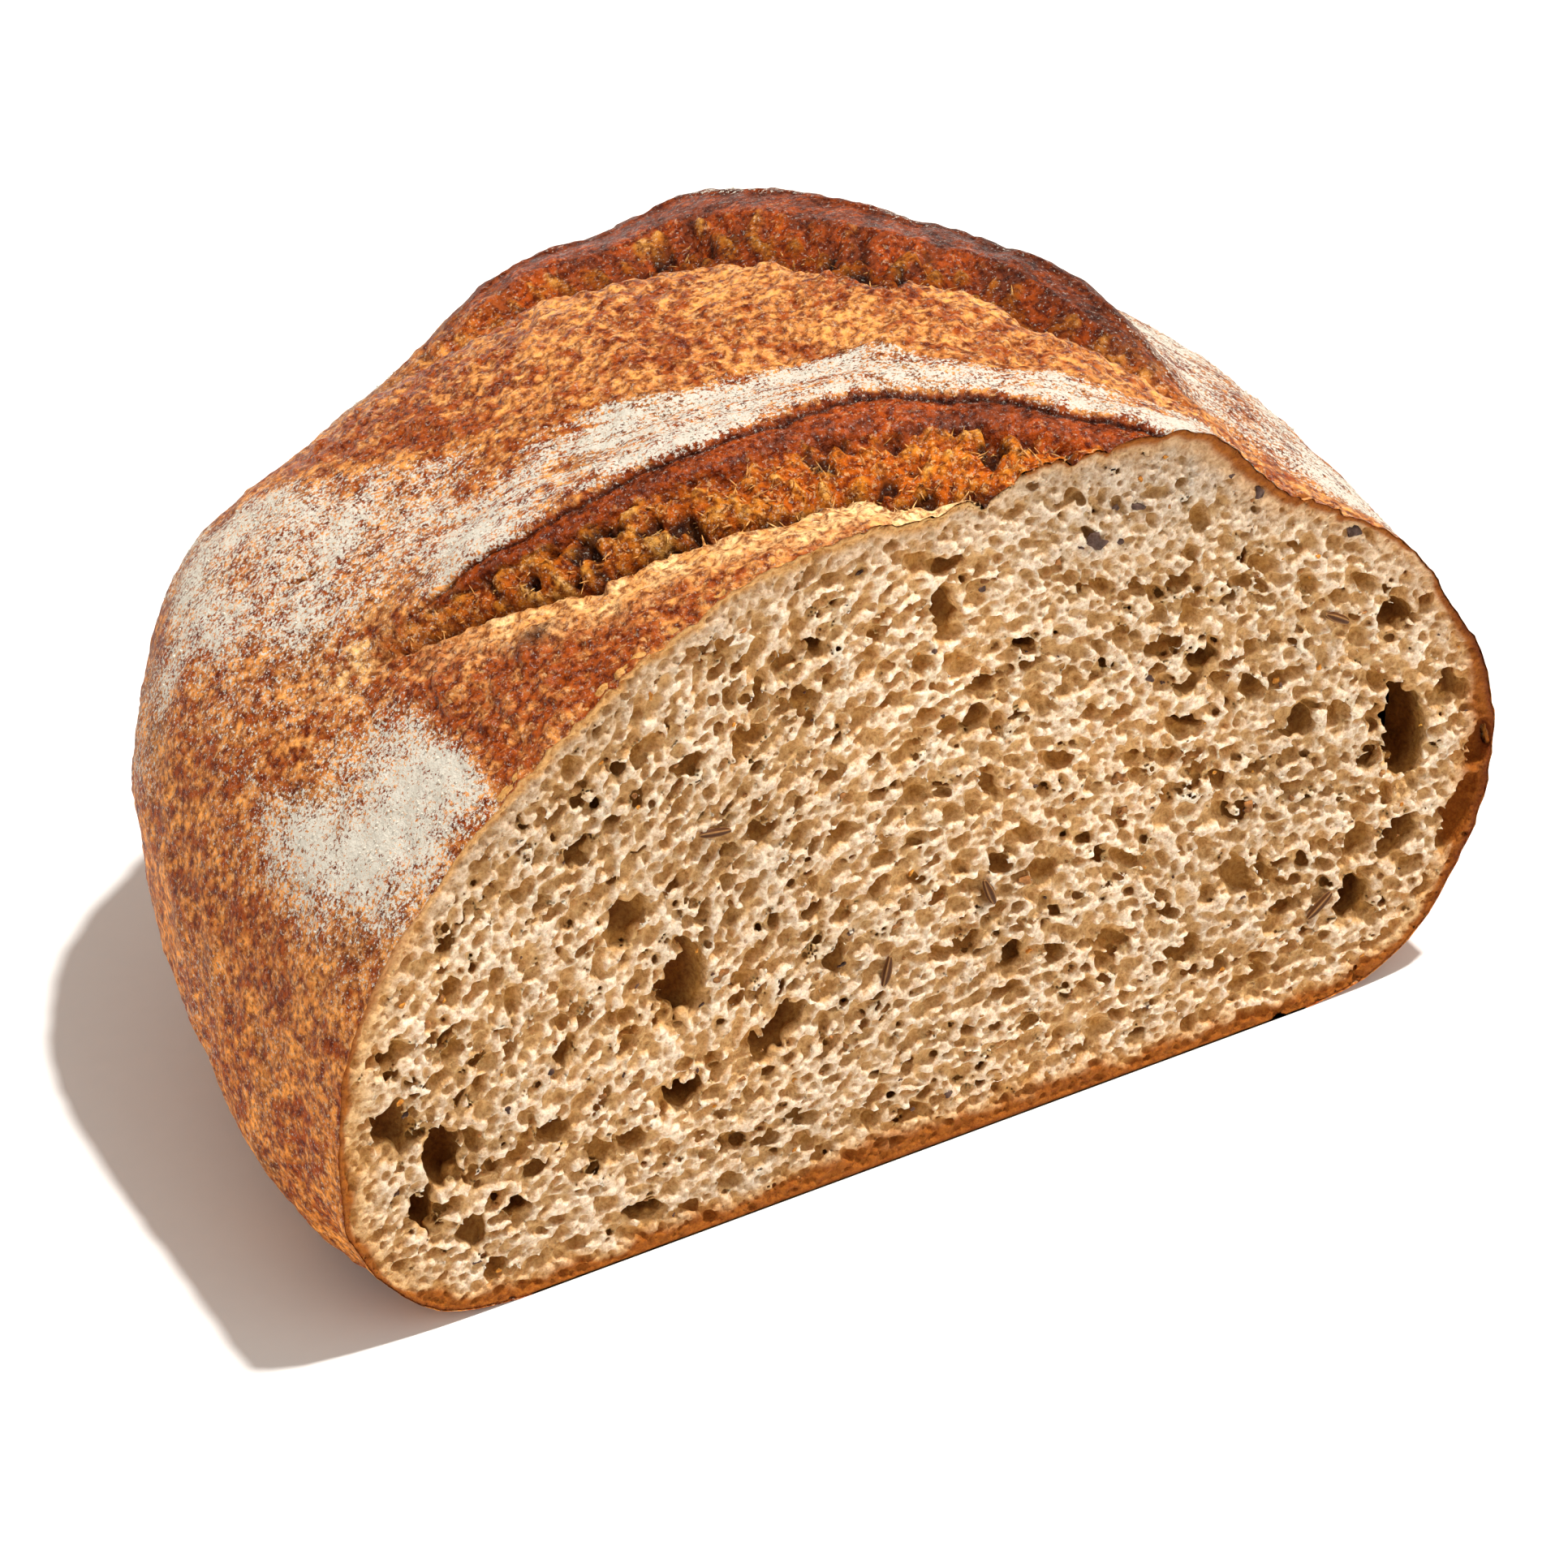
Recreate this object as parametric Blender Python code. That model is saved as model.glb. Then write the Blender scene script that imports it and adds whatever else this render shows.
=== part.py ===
"""Half of a free-standing rye loaf, cut across and lying on its flat bottom crust.

The loaf is one solid. It starts as a whole oval loaf, a sphere whose points are pushed out to the
loaf's form. The two scores are then worked in: each has an ear, the flap of crust that lifted in the
oven, and a torn furrow that runs back under it. At last the loaf is cut in two and the larger crumb
holes are sunk in the cut face.

Units are metres and +Z is up. The cut face looks along -Y and the loaf's length runs along +Y.
"""
import math
import random

import bmesh
import bpy
from mathutils import Matrix, Vector, noise

MM = 0.001

# Driving dimensions of the loaf
HALF_LENGTH = 114 * MM
HEART_HEIGHT = 36 * MM
END_ROUNDNESS = 2.3
FOOT_ROUNDNESS = 16
FOOT_SINK = 0.5 * MM
END_DRIFT = 0.094
END_LIFT = 0.132
CUT_BLEND = 12 * MM

# The cut face's outline: distance from the heart of the loaf by angle, 0 to the right, 90 up
SECTION_RADII = {
    0: 84.1, 20: 77.3, 40: 70.8, 60: 68.2, 75: 65.4, 90: 61.6, 110: 64.7, 130: 68.3, 150: 73.2, 165: 78.8,
    180: 81.9, 193: 82.8, 205: 78.5, 220: 70.0, 245: 56.0, 295: 56.0, 320: 70.0, 333: 77.5, 345: 81.8,
}

# Swellings and hollows of the baked body: angle, place along the length, their widths, height
SWELLINGS = (
    (205, 28 * MM, 25, 25 * MM, 2.9 * MM),
    (170, 70 * MM, 30, 30 * MM, 10.2 * MM),
    (90, 35 * MM, 35, 30 * MM, 1.3 * MM),
    (130, 60 * MM, 25, 30 * MM, -2.7 * MM),
    (50, 35 * MM, 25, 30 * MM, 1.2 * MM),
    (20, 40 * MM, 25, 30 * MM, 1.9 * MM),
    (110, 85 * MM, 40, 30 * MM, -2.0 * MM),
)
UNEVENNESS = 0.7 * MM
UNEVEN_SCALE = 30 * MM
UNEVEN_START = (3.1, 0.4, 7.7)

# Lines over the top of the loaf, in a map that keeps angles: millimetres right and back of its crown
MAP_SPAN = 140
MAP_EDGE = 0.05
LINE_SAMPLES = 40
TOP_REACH = -0.1
EAR_1 = ((-77, 46), (-62, 39), (-43, 33), (-20, 27), (1, 25), (15, 16), (30, 5), (46, -7), (62, -18))
LIP_1 = ((-77, 43), (-62, 35), (-46, 22), (-28, 14), (-12, 8), (4, 2), (18, -7), (34, -17), (52, -27))
EAR_2 = ((-42, 98), (-26, 96), (-8, 96), (9, 92), (21, 79), (31, 66), (40, 56), (47, 40), (53, 27), (62, 12))
LIP_2 = ((-40, 94), (-26, 86), (-12, 76), (2, 71), (11, 58), (18, 44), (27, 31), (37, 20), (47, 14), (60, 8))
BAND = ((-60, 60), (-40, 52), (-18, 37), (4, 30), (20, 15), (38, 6), (56, -2))
BREAST = ((-40, 80), (-22, 68), (-4, 58), (9, 43), (20, 28), (32, 18), (46, 9))
BREAST_RISE = 1.0 * MM
BREAST_WIDTH = 11
BAND_SINK = -0.8 * MM
BAND_WIDTH = 9
CREST_SINK = -2.6 * MM
CREST_WIDTH = 17

# The ears and the furrows under them: across the score from the ear's edge, and above the crust
EAR_PROFILE = (
    (-15.0, -3.5), (-15.0, -0.4), (-10.0, 0.5), (-5.0, 1.5), (-1.5, 2.3), (0.4, 2.5), (1.2, 2.0),
    (0.9, 1.2), (-0.4, 0.6), (-3.0, -3.0),
)
FURROW_PROFILE = (
    (-1.3, 0.5, 0), (0.6, 1.2, 0), (1.6, 1.5, 0), (1.8, 9.0, 0), (12.0, 9.0, 1), (12.0, 0.2, 1),
    (6.0, -0.9, 1), (1.5, -2.0, 1), (0.2, -3.8, 1), (-1.0, -2.8, 1), (0.0, -0.9, 0.5), (1.2, 0.3, 0),
)
FURROW_CLEAR = 5.0
FURROW_RUN_OUT = 0.6
FURROW_LEAST_STEP = 0.3
SCORE_STATIONS = 30
SCORE_FADE = 0.22

# The larger crumb holes: right of the heart, height, half length, half breadth, tilt, depth
CRUMB_HOLES = (
    (-74.2, 33.0, 4.6, 2.7, 95, 4.0), (-67.3, 26.0, 5.0, 2.7, 98, 5.0), (-70.3, 18.5, 4.0, 1.9, 92, 5.0),
    (-63.8, 12.8, 3.0, 2.4, 95, 3.0), (-58.0, 14.0, 2.6, 1.6, -40, 5.0), (-34.0, 22.3, 2.7, 2.3, -20, 6.0),
    (-40.5, 6.2, 3.3, 1.4, -10, 5.0), (-34.6, 39.5, 6.2, 3.1, 86, 4.5), (-21.0, 27.0, 4.7, 2.6, 52, 4.5),
    (-42.4, 52.0, 3.8, 3.0, 70, 3.5), (-74.5, 43.8, 2.6, 1.3, 60, 3.5), (-66.8, 43.8, 2.4, 1.2, 62, 4.0),
    (-66.0, 51.0, 2.6, 1.3, 62, 2.5), (-34.0, 72.0, 2.7, 1.6, -5, 3.0), (-48.4, 65.0, 3.0, 1.8, 60, 3.5),
    (-43.0, 75.0, 2.1, 1.2, 75, 3.5), (-18.0, 76.4, 2.5, 1.6, -25, 3.0), (-16.0, 83.0, 2.1, 1.2, -45, 4.0),
    (-51.0, 35.0, 2.2, 1.8, 60, 3.0), (-46.0, 18.0, 3.2, 1.8, -30, 2.5), (69.8, 39.5, 7.8, 3.2, 98, 8.0),
    (67.4, 57.5, 3.2, 2.1, -35, 4.0), (77.0, 43.5, 3.0, 1.8, -50, 3.5), (65.0, 36.2, 2.0, 1.7, 0, 4.0),
    (63.5, 15.0, 3.4, 2.5, 90, 6.5), (63.5, 24.0, 2.6, 2.3, 40, 3.0), (53.8, 46.0, 2.5, 2.2, 0, 3.5),
    (38.8, 61.5, 2.9, 1.9, -35, 4.5), (37.0, 57.9, 1.8, 1.6, 0, 3.5), (37.4, 52.2, 2.3, 1.0, -30, 5.0),
    (32.7, 65.3, 2.2, 1.8, -20, 3.0), (46.5, 54.5, 2.7, 1.6, -40, 3.0), (46.0, 25.0, 5.0, 2.0, -55, 2.5),
    (38.0, 16.5, 2.6, 2.1, 0, 3.0), (53.0, 17.5, 2.1, 1.9, 0, 3.0), (12.5, 25.3, 2.8, 1.9, -40, 4.0),
    (6.0, 29.7, 2.2, 2.0, 0, 3.0), (16.7, 37.0, 2.5, 1.7, -20, 2.5), (1.6, 82.0, 4.4, 2.3, 88, 3.5),
    (13.5, 72.3, 1.9, 1.2, -35, 5.0), (7.5, 69.0, 2.9, 1.5, -10, 3.0), (8.7, 53.5, 3.0, 1.6, -70, 2.5),
)
HOLE_CENTRE_DEPTH = 0.15
HOLE_UNEVENNESS = 0.25
HOLE_LUMP_SCALE = 1.7
HOLE_LUMP_SPREAD = 900
HOLE_DETAIL = 2

# The middling holes between them, spread by a rule over the cut face
MIDDLING_HOLES = 34
MIDDLING_SEED = 8
MIDDLING_ACROSS = (-82, 84)
MIDDLING_UP = (8, 94)
MIDDLING_HALF_LENGTH = (1.1, 1.9)
MIDDLING_SLIMNESS = (0.5, 0.85)
MIDDLING_DEPTH_SHARE = 1.4
MIDDLING_SPACING = 4.5
MIDDLING_DETAIL = 1
RIM_CLEARANCE = 7

# The crumb's cells lean one way at the left and the other at the right, and lie flat over the bottom
FLOW_TILTS = (58, -37)
FLOW_TURN = (-25, 18)
FLOW_RISE = (6, 31)

# Caraway seeds that the knife laid bare: right of the heart, height, tilt
CARAWAY_SEEDS = ((-6.0, 30.5, 78), (8.6, 37.2, -70), (58.3, 60.9, -35), (-30.2, 61.0, -10), (58.0, 16.0, 40))
SEED_HALF_LENGTH = 2.2
SEED_SIZE = (SEED_HALF_LENGTH * MM, 0.55 * MM, 0.6 * MM)
SEED_SUNK = 0.15
SEED_DETAIL = 1

# The blocks that cut the loaf: their sizes and centres
KNIFE_BLOCK = ((0.4, 0.2, 0.4), (0, -0.1, 0.05))
TABLE_BLOCK = ((0.4, 0.5, 0.1), (0, 0, -0.05))

CRUST_BROWN = (0.36, 0.14, 0.045, 1.0)
AROUND = 76
ALONG = 42


def clear_scene():
    for item in list(bpy.data.objects):
        bpy.data.objects.remove(item, do_unlink=True)


def make_collection(name):
    collection = bpy.data.collections.new(name)
    bpy.context.scene.collection.children.link(collection)
    return collection


def smooth_step(value):
    t = min(max(value, 0.0), 1.0)
    return t * t * (3 - 2 * t)


def hermite(t, start, end, start_slope, end_slope):
    return (
        (2 * t**3 - 3 * t**2 + 1) * start + (t**3 - 2 * t**2 + t) * start_slope
        + (3 * t**2 - 2 * t**3) * end + (t**3 - t**2) * end_slope
    )


def section_radius(angle):
    """Distance from the heart to the cut outline, a smooth closed curve through SECTION_RADII."""
    angles = list(SECTION_RADII)
    count = len(angles)
    angle = angle % 360
    i = max(k for k in range(count) if angles[k] <= angle)

    def knot(k):
        return angles[k % count] + 360 * (k // count), SECTION_RADII[angles[k % count]]

    (a0, r0), (a1, r1), (a2, r2), (a3, r3) = knot(i - 1), knot(i), knot(i + 1), knot(i + 2)
    gap = a2 - a1
    slope_1 = (r2 - r0) / (a2 - a0) * gap
    slope_2 = (r3 - r1) / (a3 - a1) * gap
    return hermite((angle - a1) / gap, r1, r2, slope_1, slope_2) * MM


def curve_point(line, t):
    """A point of the smooth open curve through a line's points, t from 0 to 1."""
    spans = len(line) - 1
    place = min(t * spans, spans - 1e-9)
    i = int(place)
    points = [Vector(line[min(max(k, 0), spans)]) for k in (i - 1, i, i + 1, i + 2)]
    slopes = ((points[2] - points[0]) / 2, (points[3] - points[1]) / 2)
    return hermite(place - i, points[1], points[2], slopes[0], slopes[1])


def line_distance(line, place):
    return min((curve_point(line, k / LINE_SAMPLES) - place).length for k in range(LINE_SAMPLES + 1))


def to_map(direction):
    return Vector((direction.x, direction.y)) * MAP_SPAN / max(1 + direction.z, MAP_EDGE)


def from_map(place):
    flat = Vector(place) / MAP_SPAN
    spread = flat.length_squared
    return Vector((2 * flat.x, 2 * flat.y, 1 - spread)) / (1 + spread)


def top_relief(direction):
    """The swell of the second tear, the dip of the skin between the tears and the low far crest."""
    if min(direction.y, direction.z) < TOP_REACH:
        return 0.0
    place = to_map(direction)
    breast = line_distance(BREAST, place) / BREAST_WIDTH
    band = line_distance(BAND, place) / BAND_WIDTH
    crest = line_distance(EAR_2, place) / CREST_WIDTH
    rises = ((BREAST_RISE, breast), (BAND_SINK, band), (CREST_SINK, crest))
    return sum(rise * math.exp(-distance**2) for rise, distance in rises)


def loaf_point(direction, height=0.0):
    """The point of the crust in a direction from the loaf's heart, raised by a height."""
    angle = math.degrees(math.atan2(direction.z, direction.x)) % 360
    across = math.hypot(direction.x, direction.z)
    along = abs(direction.y)
    power = END_ROUNDNESS
    reach = ((across / section_radius(angle))**power + (along / HALF_LENGTH)**power)**(-1 / power)
    y = reach * direction.y
    for at, along_at, spread, along_spread, rise in SWELLINGS:
        turn = (angle - at + 180) % 360 - 180
        bump = math.exp(-(turn / spread)**2 - ((y - along_at) / along_spread)**2)
        reach += rise * bump * min(max(y / CUT_BLEND, 0), 1)
    reach += top_relief(direction)
    reach += UNEVENNESS * noise.noise(direction * (HALF_LENGTH / UNEVEN_SCALE) + Vector(UNEVEN_START))
    reach += height
    if direction.z < -1e-6:
        floor = (HEART_HEIGHT + FOOT_SINK) / -direction.z
        reach = (reach**-FOOT_ROUNDNESS + floor**-FOOT_ROUNDNESS)**(-1 / FOOT_ROUNDNESS)
    point = direction * reach + Vector((0, 0, HEART_HEIGHT))
    share = point.y / HALF_LENGTH
    point.x += END_DRIFT * share * point.y
    point.z *= 1 + END_LIFT * share**2 * (1 if point.z > 0 else 0)
    return point


def object_from(mesh, name, collection):
    item = bpy.data.objects.new(name, mesh)
    collection.objects.link(item)
    return item


def hide_cutter(item):
    item.hide_render = True
    item.display_type = "WIRE"
    return item


def whole_loaf(collection):
    """The whole oval loaf, a sphere with its poles at the loaf's two ends."""
    bm = bmesh.new()
    bmesh.ops.create_uvsphere(bm, u_segments=AROUND, v_segments=ALONG, radius=1)
    bmesh.ops.rotate(bm, verts=bm.verts, matrix=Matrix.Rotation(math.radians(-90), 3, "X"))
    for vertex in bm.verts:
        vertex.co = loaf_point(vertex.co.normalized())
    bmesh.ops.recalc_face_normals(bm, faces=bm.faces)
    mesh = bpy.data.meshes.new("half_loaf")
    bm.to_mesh(mesh)
    bm.free()
    return object_from(mesh, "half_loaf", collection)


def lofted_solid(name, rings, collection):
    """A closed solid through rings of equal count, capped at both ends."""
    bm = bmesh.new()
    loops = [[bm.verts.new(point) for point in ring] for ring in rings]
    size = len(loops[0])
    for first, second in zip(loops, loops[1:]):
        for k in range(size):
            bm.faces.new((first[k], first[(k + 1) % size], second[(k + 1) % size], second[k]))
    bm.faces.new(loops[0])
    bm.faces.new(loops[-1])
    bmesh.ops.recalc_face_normals(bm, faces=bm.faces)
    bmesh.ops.triangulate(bm, faces=bm.faces)
    mesh = bpy.data.meshes.new(name)
    bm.to_mesh(mesh)
    bm.free()
    return hide_cutter(object_from(mesh, name, collection))


def score_frame(ear, lip, t):
    """The ear's edge at t, the step across towards the furrow's foot, and the width up to it."""
    edge = curve_point(ear, t)
    to_foot = curve_point(lip, t) - edge
    return edge, to_foot.normalized(), to_foot.length


def score_strength(t, far_end_fades):
    """How far the score has opened at t: nothing at an end inside the loaf's skin, all in between."""
    near = smooth_step(t / SCORE_FADE)
    return near * smooth_step((1 - t) / SCORE_FADE) if far_end_fades else near


def ear_ring(ear, lip, t, strength):
    edge, across = score_frame(ear, lip, t)[:2]
    ring = []
    for step, height in EAR_PROFILE:
        lift = height * strength if height > 0 else height
        ring.append(loaf_point(from_map(edge + across * step), lift * MM))
    return ring


def furrow_ring(ear, lip, t, strength):
    edge, across, width = score_frame(ear, lip, t)
    ring = []
    for step, height, share in FURROW_PROFILE:
        reach = step * (FURROW_LEAST_STEP + (1 - FURROW_LEAST_STEP) * strength) + width * share
        lift = height if height > FURROW_CLEAR else height * strength + FURROW_RUN_OUT * (1 - strength)
        ring.append(loaf_point(from_map(edge + across * reach), lift * MM))
    return ring


def make_score(name, ear, lip, far_end_fades, collection):
    stations = [k / (SCORE_STATIONS - 1) for k in range(SCORE_STATIONS)]
    strengths = [score_strength(t, far_end_fades) for t in stations]
    ears = [ear_ring(ear, lip, t, strength) for t, strength in zip(stations, strengths)]
    furrows = [furrow_ring(ear, lip, t, strength) for t, strength in zip(stations, strengths)]
    return lofted_solid(name + "_ear", ears, collection), lofted_solid(name + "_furrow", furrows, collection)


def make_block(name, size, centre, collection):
    bm = bmesh.new()
    bmesh.ops.create_cube(bm, size=1)
    bmesh.ops.scale(bm, vec=size, verts=bm.verts)
    bmesh.ops.translate(bm, vec=centre, verts=bm.verts)
    mesh = bpy.data.meshes.new(name)
    bm.to_mesh(mesh)
    bm.free()
    return hide_cutter(object_from(mesh, name, collection))


def add_blob(bm, place, half_sizes, tilt, unevenness, detail):
    """An uneven egg in the cut face's plane, its long side turned up by the tilt."""
    made = bmesh.ops.create_icosphere(bm, subdivisions=detail, radius=1)
    turn = Matrix.Rotation(-math.radians(tilt), 3, "Y")
    for vertex in made["verts"]:
        shape = 1 + unevenness * noise.noise(vertex.co * HOLE_LUMP_SCALE + place * HOLE_LUMP_SPREAD)
        egg = Vector((vertex.co.x * half_sizes[0], vertex.co.y * half_sizes[2], vertex.co.z * half_sizes[1]))
        vertex.co = place + turn @ (egg * shape)


def blobs_object(name, blobs, collection):
    bm = bmesh.new()
    for blob in blobs:
        add_blob(bm, *blob)
    mesh = bpy.data.meshes.new(name)
    bm.to_mesh(mesh)
    bm.free()
    return hide_cutter(object_from(mesh, name, collection))


def hole_blob(x, z, long_half, short_half, tilt, depth, detail):
    place = Vector((x, depth * HOLE_CENTRE_DEPTH, z)) * MM
    sizes = (long_half * MM, short_half * MM, depth * (1 - HOLE_CENTRE_DEPTH) * MM)
    return place, sizes, tilt, HOLE_UNEVENNESS, detail


def crumb_flow(x, z):
    """The tilt of the crumb's cells at a place of the cut face."""
    turned = min(max((x - FLOW_TURN[0]) / (FLOW_TURN[1] - FLOW_TURN[0]), 0), 1)
    rise = smooth_step((z - FLOW_RISE[0]) / (FLOW_RISE[1] - FLOW_RISE[0]))
    return (FLOW_TILTS[0] + (FLOW_TILTS[1] - FLOW_TILTS[0]) * turned) * rise


def middling_holes():
    """Holes dropped at random where the crumb has room between the larger ones and the rim."""
    draw = random.Random(MIDDLING_SEED)
    taken = [(x, z, half) for x, z, half, *rest in CRUMB_HOLES]
    taken += [(x, z, SEED_HALF_LENGTH) for x, z, tilt in CARAWAY_SEEDS]
    holes = []
    while len(holes) < MIDDLING_HOLES:
        x, z = draw.uniform(*MIDDLING_ACROSS), draw.uniform(*MIDDLING_UP)
        half = draw.uniform(*MIDDLING_HALF_LENGTH)
        slimness = draw.uniform(*MIDDLING_SLIMNESS)
        heart = Vector((x, z - HEART_HEIGHT / MM))
        rim = section_radius(math.degrees(math.atan2(heart.y, heart.x))) / MM
        clear = all(math.hypot(x - a, z - b) > other + half + MIDDLING_SPACING / 2 for a, b, other in taken)
        if clear and heart.length < rim - RIM_CLEARANCE:
            taken.append((x, z, half))
            depth = half * MIDDLING_DEPTH_SHARE
            holes.append((x, z, half, half * slimness, crumb_flow(x, z), depth))
    return holes


def make_holes(collection):
    blobs = [hole_blob(*hole, HOLE_DETAIL) for hole in CRUMB_HOLES]
    blobs += [hole_blob(*hole, MIDDLING_DETAIL) for hole in middling_holes()]
    return blobs_object("crumb_holes", blobs, collection)


def make_seeds(collection):
    blobs = []
    for x, z, tilt in CARAWAY_SEEDS:
        blobs.append((Vector((x, SEED_SUNK, z)) * MM, SEED_SIZE, tilt, 0.0, SEED_DETAIL))
    return blobs_object("caraway_seeds", blobs, collection)


def apply_boolean(target, cutter, operation):
    """Join or cut for good. The exact solver loses the loaf at the long shallow seams, this one doesn't."""
    modifier = target.modifiers.new(cutter.name, "BOOLEAN")
    modifier.operation = operation
    modifier.solver = "MANIFOLD"
    modifier.object = cutter
    bpy.context.view_layer.update()
    shaped = bpy.data.meshes.new_from_object(target.evaluated_get(bpy.context.evaluated_depsgraph_get()))
    target.modifiers.clear()
    old = target.data
    target.data = shaped
    bpy.data.meshes.remove(old)
    shaped.name = target.name


def tidy_mesh(item):
    """Split the faces into triangles and centre the loaf over its foot."""
    bm = bmesh.new()
    bm.from_mesh(item.data)
    bmesh.ops.triangulate(bm, faces=bm.faces)
    xs = [vertex.co.x for vertex in bm.verts]
    ys = [vertex.co.y for vertex in bm.verts]
    middle = Vector(((min(xs) + max(xs)) / 2, (min(ys) + max(ys)) / 2, 0))
    bmesh.ops.translate(bm, vec=-middle, verts=bm.verts)
    bm.to_mesh(item.data)
    bm.free()
    print("half_loaf centred by", [round(value, 6) for value in middle])


def crust_material():
    material = bpy.data.materials.new("baked_crust")
    material.use_nodes = True
    shader = material.node_tree.nodes["Principled BSDF"]
    shader.inputs["Base Color"].default_value = CRUST_BROWN
    shader.inputs["Roughness"].default_value = 0.6
    shader.inputs["Metallic"].default_value = 0.0
    material.diffuse_color = CRUST_BROWN
    return material


def shade(item):
    item.data.materials.clear()
    item.data.materials.append(crust_material())
    item.data.shade_smooth()
    item.data.set_sharp_from_angle(angle=math.radians(40))


def build():
    clear_scene()
    loaf_collection = make_collection("half_rye_loaf")
    cutters = make_collection("cutters")
    loaf = whole_loaf(loaf_collection)
    ear_1, furrow_1 = make_score("score_1", EAR_1, LIP_1, False, cutters)
    ear_2, furrow_2 = make_score("score_2", EAR_2, LIP_2, True, cutters)
    for flap in (ear_1, ear_2):
        apply_boolean(loaf, flap, "UNION")
    for furrow in (furrow_1, furrow_2):
        apply_boolean(loaf, furrow, "DIFFERENCE")
    for name, block in (("table", TABLE_BLOCK), ("knife", KNIFE_BLOCK)):
        apply_boolean(loaf, make_block(name, *block, cutters), "DIFFERENCE")
    apply_boolean(loaf, make_holes(cutters), "DIFFERENCE")
    apply_boolean(loaf, make_seeds(cutters), "UNION")
    tidy_mesh(loaf)
    shade(loaf)


build()
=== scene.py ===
import math

import bpy
import numpy as np
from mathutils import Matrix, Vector


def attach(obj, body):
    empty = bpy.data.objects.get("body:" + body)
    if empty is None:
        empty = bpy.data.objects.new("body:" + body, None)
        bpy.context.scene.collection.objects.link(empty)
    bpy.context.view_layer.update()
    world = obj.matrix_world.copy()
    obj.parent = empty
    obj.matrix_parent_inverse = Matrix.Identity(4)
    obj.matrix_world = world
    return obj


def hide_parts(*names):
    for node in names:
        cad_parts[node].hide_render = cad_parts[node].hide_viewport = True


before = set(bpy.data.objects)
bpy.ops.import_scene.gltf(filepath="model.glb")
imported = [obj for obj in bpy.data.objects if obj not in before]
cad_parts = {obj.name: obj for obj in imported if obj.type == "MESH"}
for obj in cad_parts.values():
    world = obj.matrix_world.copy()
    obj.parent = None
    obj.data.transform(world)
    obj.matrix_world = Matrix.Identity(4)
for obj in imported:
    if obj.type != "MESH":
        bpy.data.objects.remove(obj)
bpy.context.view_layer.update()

# Baked crust
# The skin of a free-standing rye loaf: dough proved in a floured basket, slashed twice and baked on a
# stone. It lifts into an ear beside each slash and tears open under it. The cut side is left open, since
# the crumb fills it. Lengths are in millimetres, from the middle of the cut at the table's level.
HALF_LENGTH = 114.0
HEART_HEIGHT = 36.0
FOOT_SINK = 0.5
FOOT_CRISPNESS = 16.0
PLUMPNESS = 2.3
SIDE_BEND = 0.094
FAR_LIFT = 0.132
CUT_MARGIN = 12
CENTRE_SHIFT = np.array([0.73, 57.258, 0.0])
SECTION_ANGLES = [0, 20, 40, 60, 75, 90, 110, 130, 150, 165, 180, 193, 205, 220, 245, 295, 320, 333, 345]
SECTION_RADII = [84.1, 77.3, 70.8, 68.2, 65.4, 61.6, 64.7, 68.3, 73.2, 78.8, 81.9, 82.8, 78.5, 70, 56, 56, 70,
                 77.5, 81.8]
# Each swelling of the flanks: its angle round the loaf, its place along it, both widths, and its rise
SWELLINGS = [(205, 28, 25, 25, 2.9), (170, 70, 30, 30, 10.2), (90, 35, 35, 30, 1.3), (130, 60, 25, 30, -2.7),
             (50, 35, 25, 30, 1.2), (20, 40, 25, 30, 1.9), (110, 85, 40, 30, -2.0)]
# Lines of the scores and the flour on a flat map of the crust, seen from above the loaf's heart
MAP_SPAN = 140.0
EAR_1 = [(-77, 46), (-62, 39), (-43, 33), (-20, 27), (1, 25), (15, 16), (30, 5), (46, -7), (62, -18)]
FOOT_1 = [(-77, 43), (-62, 35), (-46, 22), (-28, 14), (-12, 8), (4, 2), (18, -7), (34, -17), (52, -27)]
EAR_2 = [(-42, 98), (-26, 96), (-8, 96), (9, 92), (21, 79), (31, 66), (40, 56), (47, 40), (53, 27), (62, 12)]
FOOT_2 = [(-40, 94), (-26, 86), (-12, 76), (2, 71), (11, 58), (18, 44), (27, 31), (37, 20), (47, 14), (60, 8)]
BAND_LINE = [(-60, 60), (-40, 52), (-18, 37), (4, 30), (20, 15), (38, 6), (56, -2)]
BREAST_LINE = [(-40, 80), (-22, 68), (-4, 58), (9, 43), (20, 28), (32, 18), (46, 9)]


def lattice(points, size, seed):
    """Smooth random heights from -1 to 1 at points, with lumps of about the given size."""
    table = np.random.default_rng(seed).uniform(-1, 1, 65536).astype(np.float32)
    place = np.asarray(points, np.float32) / size
    low = np.floor(place)
    part = place - low
    part = part * part * part * (part * (part * 6 - 15) + 10)
    low = low.astype(np.int64)
    total = np.zeros(len(place), np.float32)
    for dx in (0, 1):
        wx = part[:, 0] if dx else 1 - part[:, 0]
        for dy in (0, 1):
            wy = part[:, 1] if dy else 1 - part[:, 1]
            for dz in (0, 1):
                wz = part[:, 2] if dz else 1 - part[:, 2]
                key = (low[:, 0] + dx) * 73856093 ^ (low[:, 1] + dy) * 19349663 ^ (low[:, 2] + dz) * 83492791
                total += table[key & 65535] * wx * wy * wz
    return total * 1.6


def layered(points, size, seed, layers):
    """Lattice heights of several sizes, each layer half as coarse and half as high as the one before."""
    total = 0
    for k in range(layers):
        total = total + lattice(points, size / 2**k, seed + k) / 2**k
    return total / 1.6


def smooth(value, low, high):
    """0 up to low, 1 from high on, with a soft rise between."""
    t = np.clip((value - low) / (high - low), 0, 1)
    return t * t * (3 - 2 * t)


def near(value, middle, width):
    """1 at the middle, falling off on both sides over the width."""
    return np.exp(-((value - middle) / width)**2)


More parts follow.
